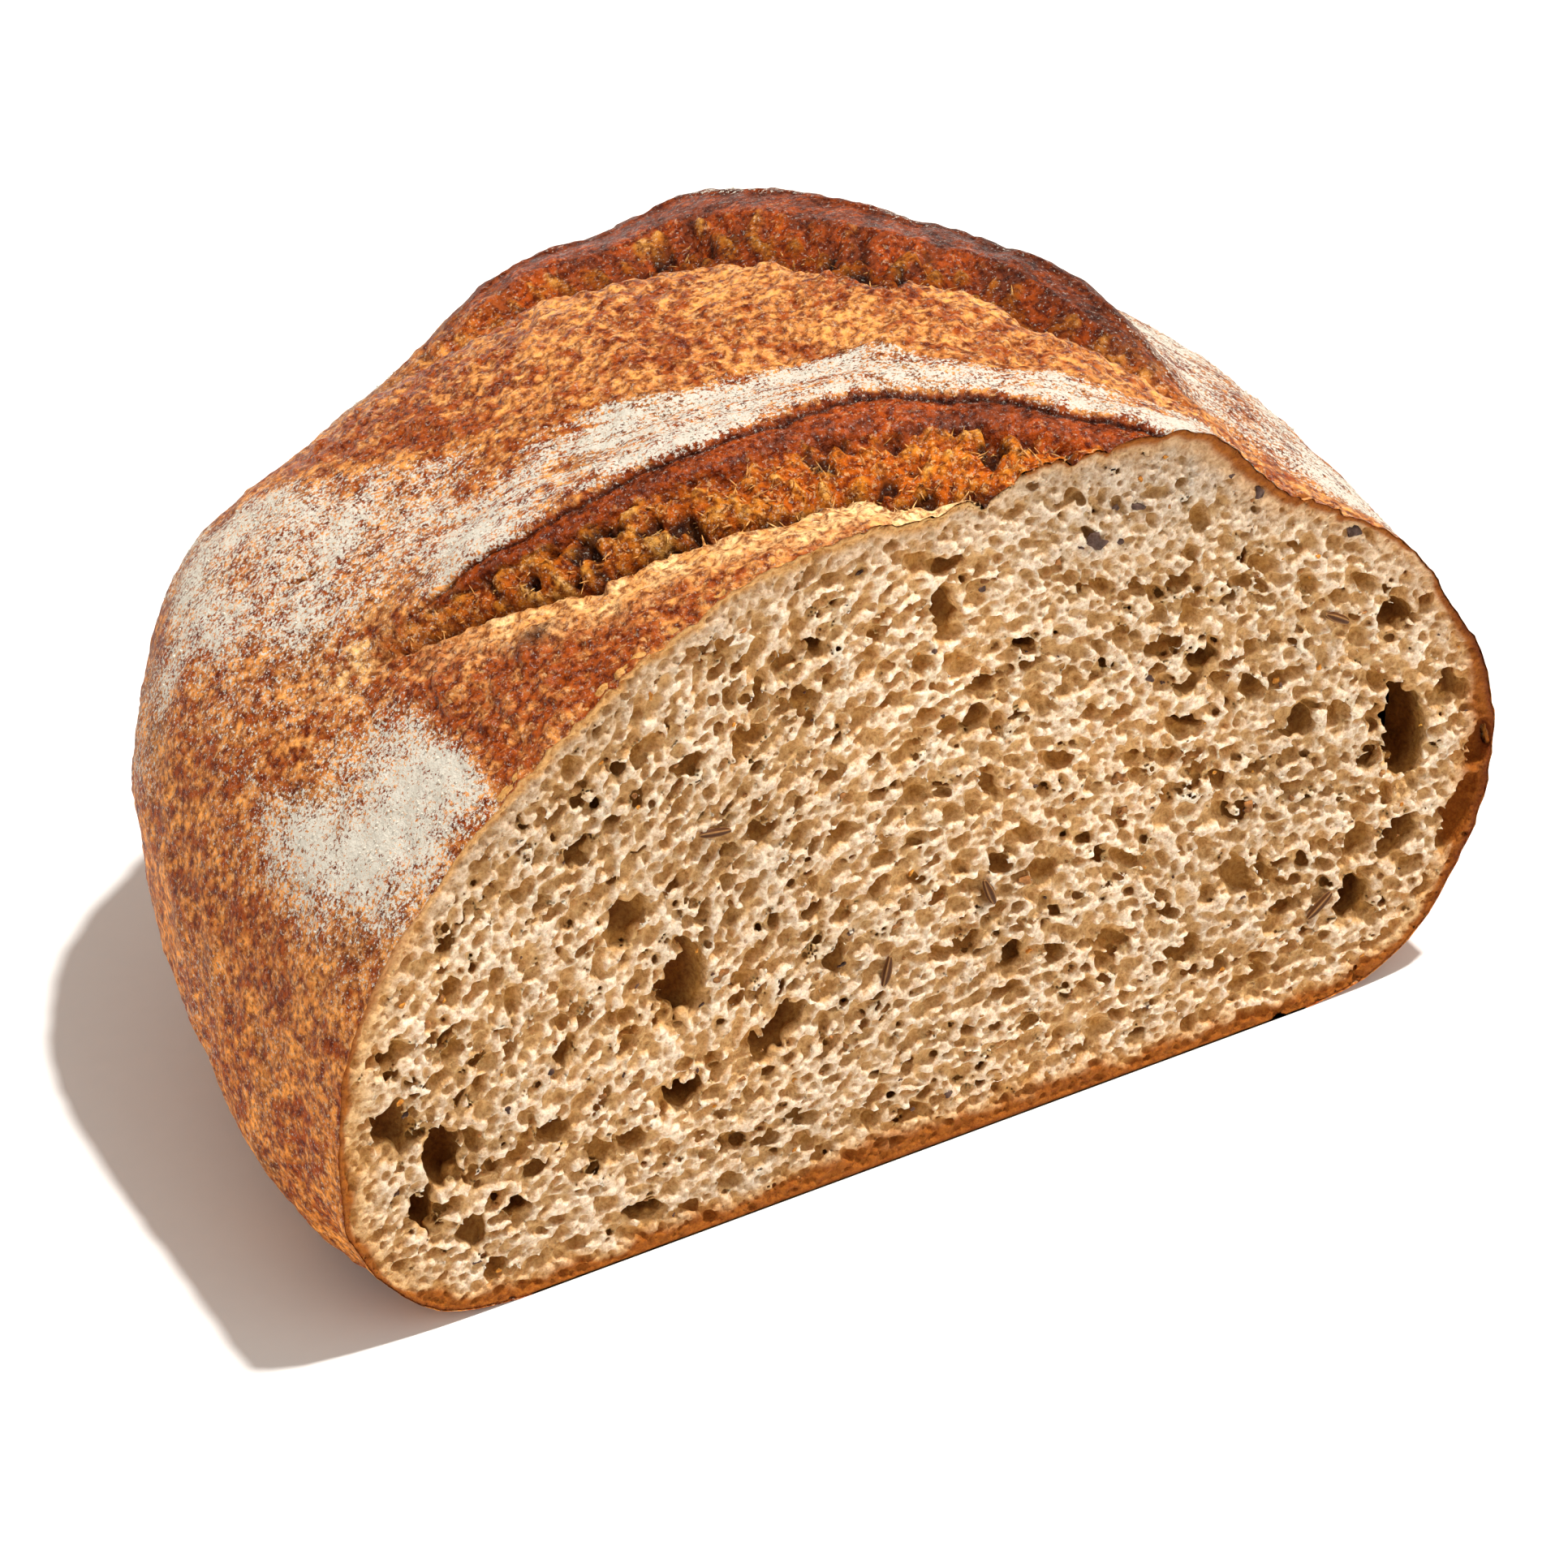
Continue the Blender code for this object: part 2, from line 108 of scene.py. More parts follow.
def eased(x, knots, values):
    """A smooth curve through the knots, flat beyond both ends."""
    knots, values = np.asarray(knots, float), np.asarray(values, float)
    slopes = np.gradient(values, knots)
    x = np.clip(x, knots[0], knots[-1])
    i = np.clip(np.searchsorted(knots, x) - 1, 0, len(knots) - 2)
    gap = knots[i + 1] - knots[i]
    t = (x - knots[i]) / gap
    return ((2 * t**3 - 3 * t**2 + 1) * values[i] + (t**3 - 2 * t**2 + t) * gap * slopes[i]
            + (3 * t**2 - 2 * t**3) * values[i + 1] + (t**3 - t**2) * gap * slopes[i + 1])


def section_radius(angle):
    """How far the loaf's widest section reaches from its heart, at angles round it."""
    knots = [a - 360 for a in SECTION_ANGLES[-3:]] + SECTION_ANGLES + [a + 360 for a in SECTION_ANGLES[:3]]
    radii = SECTION_RADII[-3:] + SECTION_RADII + SECTION_RADII[:3]
    return eased(angle % 360, knots, radii)


def line_points(line, count):
    """Points spaced along a soft line through the given places of the map."""
    t = np.linspace(0, len(line) - 1, count)
    line = np.asarray(line, float)
    return np.stack([eased(t, range(len(line)), line[:, 0]), eased(t, range(len(line)), line[:, 1])], 1)


def nearest_on(line, places):
    """For each place of the map: distance to the line and how far along it, from 0 to 1."""
    best = np.full(len(places), 1e9)
    share = np.zeros(len(places))
    for k, point in enumerate(line):
        gap = ((places - point)**2).sum(1)
        closer = gap < best
        best[closer] = gap[closer]
        share[closer] = k / (len(line) - 1)
    return np.sqrt(best), share


def to_map(direction):
    """Places on the flat map of directions from the heart."""
    return direction[:, :2] * MAP_SPAN / np.maximum(1 + direction[:, 2:3], 0.05)


def from_map(place):
    """Directions from the heart of places on the flat map."""
    flat = place / MAP_SPAN
    spread = (flat**2).sum(1)[:, None]
    return np.concatenate([2 * flat, 1 - spread], 1) / (1 + spread)


def in_metres(points):
    """The loaf's own millimetres as metres of the frame, whose middle is the middle of the CAD box."""
    return points / 1000 - CENTRE_SHIFT / 1000


def loaf_points(direction, height):
    """Points of the crust in directions from the loaf's heart, raised by heights."""
    angle = np.degrees(np.arctan2(direction[:, 2], direction[:, 0])) % 360
    across = np.hypot(direction[:, 0], direction[:, 2])
    along = np.abs(direction[:, 1])
    reach = ((across / section_radius(angle))**PLUMPNESS + (along / HALF_LENGTH)**PLUMPNESS)**(-1 / PLUMPNESS)
    y = reach * direction[:, 1]
    for at, along_at, spread, along_spread, rise in SWELLINGS:
        turn = (angle - at + 180) % 360 - 180
        bump = np.exp(-(turn / spread)**2 - ((y - along_at) / along_spread)**2)
        reach = reach + rise * bump * np.clip(y / CUT_MARGIN, 0, 1)
    top = (direction[:, 1] > -0.1) & (direction[:, 2] > -0.1)
    place = to_map(direction[top])
    for line, rise, width in ((BREAST_LINE, 1.0, 11), (BAND_LINE, -0.8, 9), (EAR_2, -2.6, 17)):
        gap = nearest_on(line_points(line, 60), place)[0]
        reach[top] += rise * np.exp(-(gap / width)**2)
    reach = reach + height
    low = direction[:, 2] < -1e-6
    floor = (HEART_HEIGHT + FOOT_SINK) / -direction[low, 2]
    reach[low] = (reach[low]**-FOOT_CRISPNESS + floor**-FOOT_CRISPNESS)**(-1 / FOOT_CRISPNESS)
    point = direction * reach[:, None] + [0, 0, HEART_HEIGHT]
    share = point[:, 1] / HALF_LENGTH
    point[:, 0] += SIDE_BEND * share * point[:, 1]
    point[:, 2] *= 1 + FAR_LIFT * share**2 * (point[:, 2] > 0)
    return point


# Rows run from the cut to the far end and columns round the loaf, closest over the top that is scored.
TOP_COLUMNS = 360
LAST_ROW_AT = 89.6
rows_at = np.concatenate([np.linspace(0, 62, 180, endpoint=False), np.linspace(62, LAST_ROW_AT, 56)])
columns_at = np.concatenate([
    np.linspace(18, 158, TOP_COLUMNS, endpoint=False), np.linspace(158, 216, 104, endpoint=False),
    np.linspace(216, 322, 60, endpoint=False), np.linspace(322, 378, 60, endpoint=False),
])
row_count, column_count = len(rows_at), len(columns_at)
swing, turn = np.meshgrid(np.radians(rows_at), np.radians(columns_at), indexing="ij")
skin_direction = np.stack([
    np.cos(swing) * np.cos(turn), np.sin(swing), np.cos(swing) * np.sin(turn)], 2).reshape(-1, 3)
rough_place = loaf_points(skin_direction, np.zeros(len(skin_direction)))
skin_map = to_map(skin_direction)
seen_from_top = skin_direction[:, 2] > -0.05

# How the crust rolls over an ear and down the torn wall under it. Steps run across the score, from 0 at
# the ear's edge to 14 at the foot of the wall. The shift moves the crust towards the foot.
LINE_SAMPLES = 500
NOT_TOP = -99.0
FOOT_STEP = 14
END_FADE = 0.22
ROLL_STEP = [-15, -10, -5, -1.5, -0.2, 0.5, 1.0, 1.6, 2.6, 3.8, 5.0,
             5.8, 8, 10, 11.6, 12.8, 13.6, 14.3, 15.2, 17, 20, 26]
ROLL_SHIFT = [0, 0, 0.2, 0.9, 1.6, 1.4, 0.8, 0.5, 0.7, 0.8, 0.4,
              -0.4, -0.3, 0.1, 0.4, 0.5, 0.2, -0.1, -0.3, 0, 0, 0]
ROLL_HEIGHT = {
    "first": [0, 0.5, 1.5, 2.3, 2.3, 1.7, 1.2, 1.2, 1.3, 1.1, 0.5,
              0.0, -0.3, -0.8, -1.8, -3.4, -5.2, -5.2, -2.6, -1.7, -0.9, 0],
    "second": [0, 0.9, 2.4, 3.7, 3.9, 3.8, 3.6, 3.4, 3.1, 2.6, 2.1,
               1.3, -1.7, -3.0, -2.9, -2.3, -1.6, -0.9, -0.3, 0, 0, 0],
}

height = np.zeros(len(skin_direction))
shifted_map = skin_map.copy()
score_step = {}
score_opening = {}
score_side = {}
for name, ear, foot, both_fade in (("first", EAR_1, FOOT_1, False), ("second", EAR_2, FOOT_2, True)):
    ear_line, foot_line = line_points(ear, LINE_SAMPLES), line_points(foot, LINE_SAMPLES)
    to_foot = foot_line - ear_line
    width = np.hypot(to_foot[:, 0], to_foot[:, 1])
    across = to_foot / width[:, None]
    rows = np.where(seen_from_top)[0]
    gap, share = nearest_on(ear_line, skin_map[rows])
    k = np.round(share * (LINE_SAMPLES - 1)).astype(int)
    along_ear = np.gradient(ear_line, axis=0)
    along_ear /= np.hypot(along_ear[:, 0], along_ear[:, 1])[:, None]
    square_on = np.abs(across[:, 0] * along_ear[:, 1] - across[:, 1] * along_ear[:, 0])
    step = ((skin_map[rows] - ear_line[k]) * across[k]).sum(1)
    score_side[name] = np.full(len(skin_direction), NOT_TOP)
    score_side[name][rows] = step
    step = np.where(step > 0, gap / np.maximum(square_on[k], 0.5), -gap)
    torn = np.stack([share * 150, np.zeros(len(share)), np.zeros(len(share))], 1)
    wall_wander = 0.6 * smooth(step, 8, 12) * lattice(torn, 4, 13)
    step = step + 0.5 * lattice(torn, 8, 11) + 0.2 * lattice(torn, 2.1, 12) + wall_wander
    opening = smooth(share, 0.0, END_FADE)
    if both_fade:
        opening = opening * smooth(1 - share, 0.0, END_FADE)
    past_foot = np.maximum(step - width[k], 0)
    reach = np.where(step > 0, np.minimum(step, width[k]) / width[k] * FOOT_STEP + past_foot, step)
    shift = eased(reach, ROLL_STEP, ROLL_SHIFT) * opening
    shifted_map[rows] += across[k] * shift[:, None]
    roll = eased(reach, ROLL_STEP, ROLL_HEIGHT[name])
    # The notch that the torn wall leaves in the cut's outline is a shallow one.
    roll = np.where(roll < 0, roll * (0.45 + 0.55 * smooth(rough_place[rows, 1], 0, 5)), roll)
    height[rows] += roll * opening
    score_step[name] = np.full(len(skin_direction), NOT_TOP)
    score_step[name][rows] = reach
    score_opening[name] = np.zeros(len(skin_direction))
    score_opening[name][rows] = opening

# Marks of the baking beside the scores: a dark blister, a burst bubble and a hair crack
BLISTER_AT, BLISTER_SIZE = (-54, 18), (3.6, 1.7)
BUBBLE_AT, BUBBLE_SIZE = (-44, 17), 1.1
CRACK_AT, CRACK_WAY = (-67, 62), (0.9, -0.45)
map_u, map_v = skin_map[:, 0], skin_map[:, 1]
blister_u, blister_v = (map_u - BLISTER_AT[0]) / BLISTER_SIZE[0], (map_v - BLISTER_AT[1]) / BLISTER_SIZE[1]
blister = near(np.hypot(blister_u, blister_v), 0, 1)
bubble = near(np.hypot(map_u - BUBBLE_AT[0], map_v - BUBBLE_AT[1]), 0, BUBBLE_SIZE)
crack_u, crack_v = map_u - CRACK_AT[0], map_v - CRACK_AT[1]
crack_side = crack_u * -CRACK_WAY[1] + crack_v * CRACK_WAY[0] + 0.5 * np.sin(map_v * 1.3)
crack_along = crack_u * CRACK_WAY[0] + crack_v * CRACK_WAY[1]
crack = near(crack_side, 0, 0.35) * near(crack_along, 0, 3.2)
height += 0.5 * blister - 1.1 * bubble - 0.5 * crack

# The upper edge of the floured band between the tears, and how far each place lies past it
BAND_TOP = [(-62, 88), (-53, 78), (-47, 68), (-42, 63), (-34, 56), (-26, 50), (-18, 43), (-6, 39),
            (6, 34), (9, 32), (16, 23), (27, 17), (37, 11), (49, 8), (54, 4), (66, -4)]
BAND_SAMPLES = 200
FAR_BELOW = -60
band_top = line_points(BAND_TOP, BAND_SAMPLES)
gap, share = nearest_on(band_top, skin_map)
k = np.round(share * (BAND_SAMPLES - 1)).astype(int)
tangent = np.gradient(band_top, axis=0)
tangent /= np.hypot(tangent[:, 0], tangent[:, 1])[:, None]
offset = skin_map - band_top[k]
past_band = np.where(tangent[k][:, 0] * offset[:, 1] - tangent[k][:, 1] * offset[:, 0] > 0, gap, -gap)
past_band = np.where(seen_from_top, past_band, FAR_BELOW)

# Where the crust is what: the torn walls under both ears, the grainy lip below the first and the grainy
# breast between the tears. First and second are the steps across the scores.
first, second = score_step["first"], score_step["second"]
open_1, open_2 = score_opening["first"], score_opening["second"]
torn_lip = smooth(open_1, 0.05, 0.5) * smooth(first, 13.0, 14.5) * (1 - smooth(first, 26, 34))
lip_end = smooth(map_u, -76, -70) * smooth(-map_v, -40, -30)
lip_end = lip_end * smooth(first, 13, 14.5) * (first > 0) * smooth(open_1, 0.02, 0.2)
torn_lip = np.maximum(torn_lip, lip_end)
past_second = score_side["second"]
breast = smooth(past_band, -0.5, 1.5) * (second > 13.5) * smooth(past_second, 0, 8)
breast = breast * (1 - smooth(gap, 60, 70))
wall_1, wall_2 = [
    opening * smooth(across_score, 0.5, 2) * (1 - smooth(across_score, 13.6, 14.6))
    for across_score, opening in ((first, open_1), (second, open_2))]
torn_zone = np.clip(np.maximum(wall_1, wall_2), 0, 1)
granular = np.clip(np.maximum(torn_lip, breast), 0, 1)

# Relief of the baked surface: swells, blisters and grain, with ragged pockets torn into both walls
coarse = layered(rough_place, 22, 21, 3)
grain = layered(rough_place, 2.2, 31, 2)
fine_grain = lattice(rough_place, 0.9, 41)
spongy = np.maximum(wall_1 * smooth(first, 4.4, 6), wall_2 * smooth(second, 4.4, 6))
ragged = layered(rough_place * [1.0, 1.0, 0.6], 1.5, 51, 2)
pocket = np.maximum(lattice(rough_place * [1, 1, 0.6], 1.7, 61), 0)
pocket = pocket * smooth(lattice(rough_place, 6, 62), -0.5, 0.5)
height += 0.6 * coarse + 0.28 * layered(rough_place, 5, 25, 2) - 0.25
height += (0.14 + 0.26 * granular) * grain + (0.07 + 0.15 * granular) * fine_grain
height += spongy * (0.75 * ragged - 2.0 * pocket)
skin_points = loaf_points(np.where(seen_from_top[:, None], from_map(shifted_map), skin_direction), height)
skin_points[:, 1] = np.maximum(skin_points[:, 1], 0)
skin_points[:, 2] = np.maximum(skin_points[:, 2], 0.0)
skin_points[:column_count, 1] = 0

# The last rings settle to an even depth at the far end, where a strip of quads closes them.
CAP_RISE = 0.8
along_loaf = skin_points.reshape(row_count, column_count, 3)[:, :, 1]
settled = smooth(rows_at, 80, LAST_ROW_AT)[:, None]
along_loaf += (along_loaf.mean(1, keepdims=True) + CAP_RISE - along_loaf) * settled

# The baked skin stays within the loaf's own width, length and height, easing off over the last stretch.
EASE = 0.8
LEFT_END, RIGHT_END, FAR_END, TOP_END = -83.15, 84.6, 114.8, 101.65
for axis, way, end in ((0, 1, RIGHT_END), (0, -1, -LEFT_END), (1, 1, FAR_END), (2, 1, TOP_END)):
    over = way * skin_points[:, axis] - (end - EASE)
    eased_place = way * (end - EASE + EASE * np.tanh(over / EASE))
    skin_points[:, axis] = np.where(over > 0, eased_place, skin_points[:, axis])

# Tones of the crust, from the pale torn lip to the dark rolled edge of an ear
PALE_GOLD = np.array([0.84, 0.54, 0.23])
GOLD_BROWN = np.array([0.68, 0.300, 0.088])
RED_BROWN = np.array([0.25, 0.046, 0.005])
PURPLE_BROWN = np.array([0.125, 0.026, 0.009])
TORN_ORANGE = np.array([0.44, 0.088, 0.004])
TORN_GOLD = np.array([0.62, 0.22, 0.02])
# Near-black painted shade for the gap at the foot of a torn wall and for the pockets torn into it
GAP_SHADE = np.array([0.045, 0.010, 0.002])


def blend(tone, other, share):
    """A tone of each point moved towards another one by its share."""
    return tone + (other - tone) * np.clip(share, 0, 1)[:, None]


count = len(rough_place)
spots = layered(rough_place, 9, 71, 3)
speckle = layered(rough_place, 1.2, 81, 2)
tone = blend(
    np.tile(RED_BROWN, (count, 1)), GOLD_BROWN * [1.05, 1.0, 0.85], 0.46 + 0.85 * speckle + 0.35 * spots)
tone = blend(tone, PURPLE_BROWN, smooth(spots, 0.2, 0.8) * 0.5)
gold_share = 0.36 + 0.9 * speckle + 0.4 * spots
gold_share = gold_share + 0.2 * near(second, 17, 6) * open_2 - 0.34 * smooth(-map_u, 12, 45)
grainy_tone = blend(np.tile(RED_BROWN * 1.1, (count, 1)), GOLD_BROWN * [1.08, 1.06, 0.98], gold_share)
tone = blend(tone, grainy_tone, granular)
forked = near(np.hypot((map_u + 73) / 6, (map_v - 44) / 4.5), 0, 1)
tone = blend(tone, PALE_GOLD, 0.7 * forked * smooth(speckle, -0.5, 0.4))
lip_pale = torn_lip * (1 - smooth(first + 1.5 * spots, 18.5, 26 + 6 * smooth(map_u, -30, 0)))
lip_pale = lip_pale * smooth(map_u, -72, -52)
gold_edge = torn_lip * (1 - smooth(rough_place[:, 1], 1.0, 3.4 + 1.6 * spots)) * smooth(map_v, 12, 24)
lip_pale = np.maximum(lip_pale, 0.85 * gold_edge)
lip_share = 0.2 + 0.8 * speckle + 0.85 * smooth(map_u, -30, 0)
lip_tone = blend(np.tile(GOLD_BROWN, (count, 1)), PALE_GOLD * [1.1, 1.13, 1.3], lip_share)
tone = blend(tone, lip_tone, lip_pale)
torn_tone = blend(np.tile(TORN_ORANGE, (count, 1)), TORN_GOLD, 0.25 + 1.1 * ragged)
torn_tone = blend(torn_tone, PALE_GOLD * [1.0, 0.88, 0.55], smooth(ragged - pocket, 0.5, 0.95) * 0.6)
# Painted shade in the pockets torn into the walls
torn_tone = blend(torn_tone, GAP_SHADE, smooth(pocket, 0.08, 0.45) * 0.95)
# Painted shade: the crevice under the second ear, and the second torn wall as a whole, less of it towards the
# left
crevice_shade = open_2 * smooth(second, 5.5, 8) * (1 - smooth(second, 11.5, 14))
torn_tone = torn_tone * (0.92 - crevice_shade[:, None] * [0.44, 0.54, 0.7])
shaded_wall = wall_2 * (1 - 0.7 * smooth(-map_u, 0, 30))
torn_tone = torn_tone * (1 - shaded_wall[:, None] * [0.28, 0.36, 0.42])
tone = blend(tone, torn_tone, torn_zone)
face_share = 0.5 + 0.9 * grain + 0.4 * smooth(-map_u, -10, 20)
face_tone = blend(np.tile(PURPLE_BROWN, (count, 1)), RED_BROWN * [1.25, 1.1, 0.9], face_share)
# Of each ear: the share of painted shade in the gap at its foot, where its face starts and ends, how uneven
# that end is, and the share of the dark line along its edge
EAR_LOOKS = ((first, open_1, 1, 0.0, 4.6 + 0.9 * smooth(map_u, -40, 0), 0.9, 0.97),
             (second, open_2, 0.4, -5.0, 6.2, 1.7, 0.3))
for across_score, opening, gap_shade_share, face_start, face_end, unevenness, edge_share in EAR_LOOKS:
    tone = blend(tone, GAP_SHADE, near(across_score + 0.4 * grain, 13.6, 1.1) * opening * gap_shade_share)
    uneven_end = across_score + unevenness * ragged
    face = smooth(across_score, face_start, 0.4) * (1 - smooth(uneven_end, face_end, face_end + 1.5))
    tone = blend(tone, face_tone, face * opening)
    tone = blend(tone, PURPLE_BROWN * 0.3, near(across_score, 1.0, 0.5) * opening * edge_share)

tone = blend(tone, PURPLE_BROWN * 0.75, 0.8 * near(second, -1.5, 3.2) * open_2)
# Painted shade over the second ear towards its right end; the first torn wall is darker towards its left end
shaded_end = open_2 * smooth(map_u, 26, 42) * near(second, 3, 9)
left_end = open_1 * smooth(-map_u, -5, 35) * smooth(first, 0, 2) * (1 - smooth(first, 12, 14))
tone = tone * (1 - 0.4 * shaded_end - 0.24 * left_end)[:, None]
low_side = 1 - smooth(skin_direction[:, 2], -0.1, 0.35)
tone = tone * (1 + low_side[:, None] * [0.16, 0.06, -0.2])
tone = blend(tone, PURPLE_BROWN * 0.5, 0.9 * blister)
tone = blend(tone, TORN_ORANGE * 0.45, bubble)
tone = blend(tone, RED_BROWN * 0.3, crack)

# Flour from the basket, rubbed thin in places and thickest on the band between the tears
flour_patchy = layered(rough_place, 11, 91, 4)
inner_band = smooth(-past_band, -0.2, 1.6) * (first < 0.6) * smooth(first, -24, -16)
inner_band *= smooth(map_u, -66, -44) * (1 - 0.85 * smooth(first, -0.7, 0.4) * smooth(open_1, 0.1, 0.6))
left_top = smooth(-past_band, 0, 3) * smooth(map_u, -100, -74) * (1 - smooth(map_u, -50, -30))
left_top = left_top * smooth(map_v, 36, 56)
left_streak = near(map_v - 62 - 0.5 * (map_u + 60), 0, 5) * smooth(map_u, -90, -70) * smooth(-past_band, 0, 2)
far_patch = near(map_u, -78, 15) * near(map_v, 74, 20)
near_patch = smooth(map_u, -122, -94) * (1 - smooth(map_u + 4 * spots, -74, -71)) * smooth(map_v, -4, 7)
near_patch *= 1 - smooth(map_v, 38, 50)
streak = near(map_v - 22 + 0.35 * (map_u + 92), 0, 19)
right_thin = 0.13 * smooth(map_u, 10, 55)
far_top = smooth(-past_second, 0.5, 7) * (second < 0) * (1 - smooth(-second + 8 * spots, 26, 52))
tone = blend(tone, PURPLE_BROWN * 1.3, 0.5 * far_top)
band_place = np.stack([share * 190, past_band, 0 * share], 1)
band_streak = lattice(band_place * [0.11, 1.1, 1], 1.0, 95)
band_streak = band_streak + 0.6 * lattice(band_place * [0.2, 2.2, 1], 1.0, 96)
thin_edge = 0.10 * smooth(-past_band, 8, 14)
flour = np.maximum.reduce([
    (0.66 + 0.18 * band_streak - thin_edge - right_thin) * inner_band, 0.42 * left_top, 0.60 * left_streak,
    0.58 * far_patch, 0.64 * near_patch * streak, (0.53 + 0.16 * band_streak) * far_top,
    0.13 * near(second, -1.5, 3.5) * open_2,
])
flour = flour + (0.34 * flour_patchy + 0.10 * speckle) * (flour > 0.02) + 0.14 * near(map_u, -84, 26) + 0.04
faces_up = smooth(skin_direction[:, 2] + 0.08 * flour_patchy, 0.0, 0.28)
flour = flour * faces_up + (0.04 + 0.10 * flour_patchy) * (1 - faces_up)
flour = flour * (1 - granular * 0.95) * (1 - torn_zone)
flour = np.clip(flour, 0, 1) * (1 - blister) * (1 - crack)
ear_gloss = np.maximum(open_1 * near(first, 3, 3.4), 0.6 * open_2 * near(second, 3.5, 2.4))
gloss = np.clip(ear_gloss + 0.55 * granular + 0.12 + 0.3 * blister, 0, 1) * (1 - flour)

# Quads between the rows and columns, and a strip of them that closes the last ring
skin_vertex = in_metres(skin_points)
grid = np.arange(row_count * column_count).reshape(row_count, column_count)
next_column = np.roll(grid, -1, 1)
skin_quads = np.stack([grid[:-1], grid[1:], next_column[1:], next_column[:-1]], 2).reshape(-1, 4)
left = np.arange(column_count // 2 - 1)
right = column_count - 1 - left
skin_quads = np.concatenate([skin_quads, grid[-1][np.stack([left + 1, left, right, right - 1], 1)]])


def even_normals(points, quads):
    """The normal at each point, averaged over the quads round it by their size."""
    diagonal = np.cross(points[quads[:, 2]] - points[quads[:, 0]], points[quads[:, 3]] - points[quads[:, 1]])
    total = np.zeros_like(points)
    for corner in range(4):
        for axis in range(3):
            total[:, axis] += np.bincount(quads[:, corner], diagonal[:, axis], len(points))
    return total / np.maximum(np.linalg.norm(total, axis=1), 1e-12)[:, None]


def mesh_piece(name, points, normals, quads, values, material):
    """One shown piece of the loaf from its share of a larger skin of quads, shaded as the whole skin is."""
    used, corners = np.unique(quads, return_inverse=True)
    corners = corners.reshape(-1, 4)
    mesh = bpy.data.meshes.new(name)
    mesh.vertices.add(len(used))
    mesh.vertices.foreach_set("co", points[used].astype(np.float32).ravel())
    mesh.loops.add(len(corners) * 4)
    mesh.loops.foreach_set("vertex_index", corners.astype(np.int32).ravel())
    mesh.polygons.add(len(corners))
    mesh.polygons.foreach_set("loop_start", np.arange(0, len(corners) * 4, 4, dtype=np.int32))
    mesh.update(calc_edges=True)
    mesh.polygons.foreach_set("use_smooth", np.ones(len(corners), bool))
    for key, value in values.items():
        if value.ndim == 2:
            layer = mesh.color_attributes.new(key, "FLOAT_COLOR", "POINT")
            rgba = np.concatenate([value[used], np.ones((len(used), 1))], 1)
            layer.data.foreach_set("color", rgba.astype(np.float32).ravel())
        else:
            layer = mesh.attributes.new(key, "FLOAT", "POINT")
            layer.data.foreach_set("value", value[used].astype(np.float32))
    mesh.normals_split_custom_set_from_vertices(normals[used].tolist())
    mesh.materials.append(material)
    piece = bpy.data.objects.new(name, mesh)
    bpy.context.scene.collection.objects.link(piece)
    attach(piece, "root")
    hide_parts("half_loaf")
    return piece


def start_material(name, settings):
    """A new material, with what is the same all over it set on the shader's own sockets."""
    material = bpy.data.materials.new(name)
    material.use_nodes = True
    tree = material.node_tree
    shader = tree.nodes["Principled BSDF"]
    for socket, value in settings.items():
        shader.inputs[socket].default_value = value
    return material, tree, shader


def add_node(tree, kind, settings=(), **inputs):
    """A shader node whose inputs, by name or as _number, take links or plain values."""
    node = tree.nodes.new("ShaderNode" + kind)
    for key, value in dict(settings).items():
        setattr(node, key, value)
    for key, value in inputs.items():
        socket = node.inputs[int(key[1:])] if key[0] == "_" else node.inputs[key]
        if isinstance(value, bpy.types.NodeSocket):
            tree.links.new(value, socket)
        else:
            socket.default_value = value
    return node


def add_noise(tree, scale, detail, rough=0.6):
    """Noise that is fixed to the loaf, with its scale counted per metre."""
    place = add_node(tree, "TexCoord").outputs["Object"]
    noise = add_node(tree, "TexNoise", Vector=place, Scale=scale, Detail=detail, Roughness=rough)
    return noise.outputs["Fac"]


def add_range(tree, value, low, high, to_low=0.0, to_high=1.0):
    return add_node(tree, "MapRange", _0=value, _1=low, _2=high, _3=to_low, _4=to_high).outputs[0]


def add_math(tree, operation, first_value, second_value):
    return add_node(tree, "Math", {"operation": operation}, _0=first_value, _1=second_value).outputs[0]


def add_mix(tree, share, first_tone, second_tone, kind="MIX"):
    node = add_node(
        tree, "Mix", {"data_type": "RGBA", "blend_type": kind}, _0=share, _6=first_tone, _7=second_tone)
    return node.outputs[2]


def add_ramp(tree, value, low_tone, high_tone):
    node = add_node(tree, "ValToRGB", _0=value)
    node.color_ramp.elements[0].color = low_tone
    node.color_ramp.elements[1].color = high_tone
    return node.outputs[0]


def add_bump(tree, shader, strength, depth, height, sockets=("Normal",)):
    bump = add_node(tree, "Bump", Strength=strength, Distance=depth, Height=height)
    for socket in sockets:
        tree.links.new(bump.outputs[0], shader.inputs[socket])


def attribute(tree, name, output="Fac"):
    """A value or tone that the piece's mesh carries at each point."""
    return add_node(tree, "Attribute", {"attribute_name": name}).outputs[output]


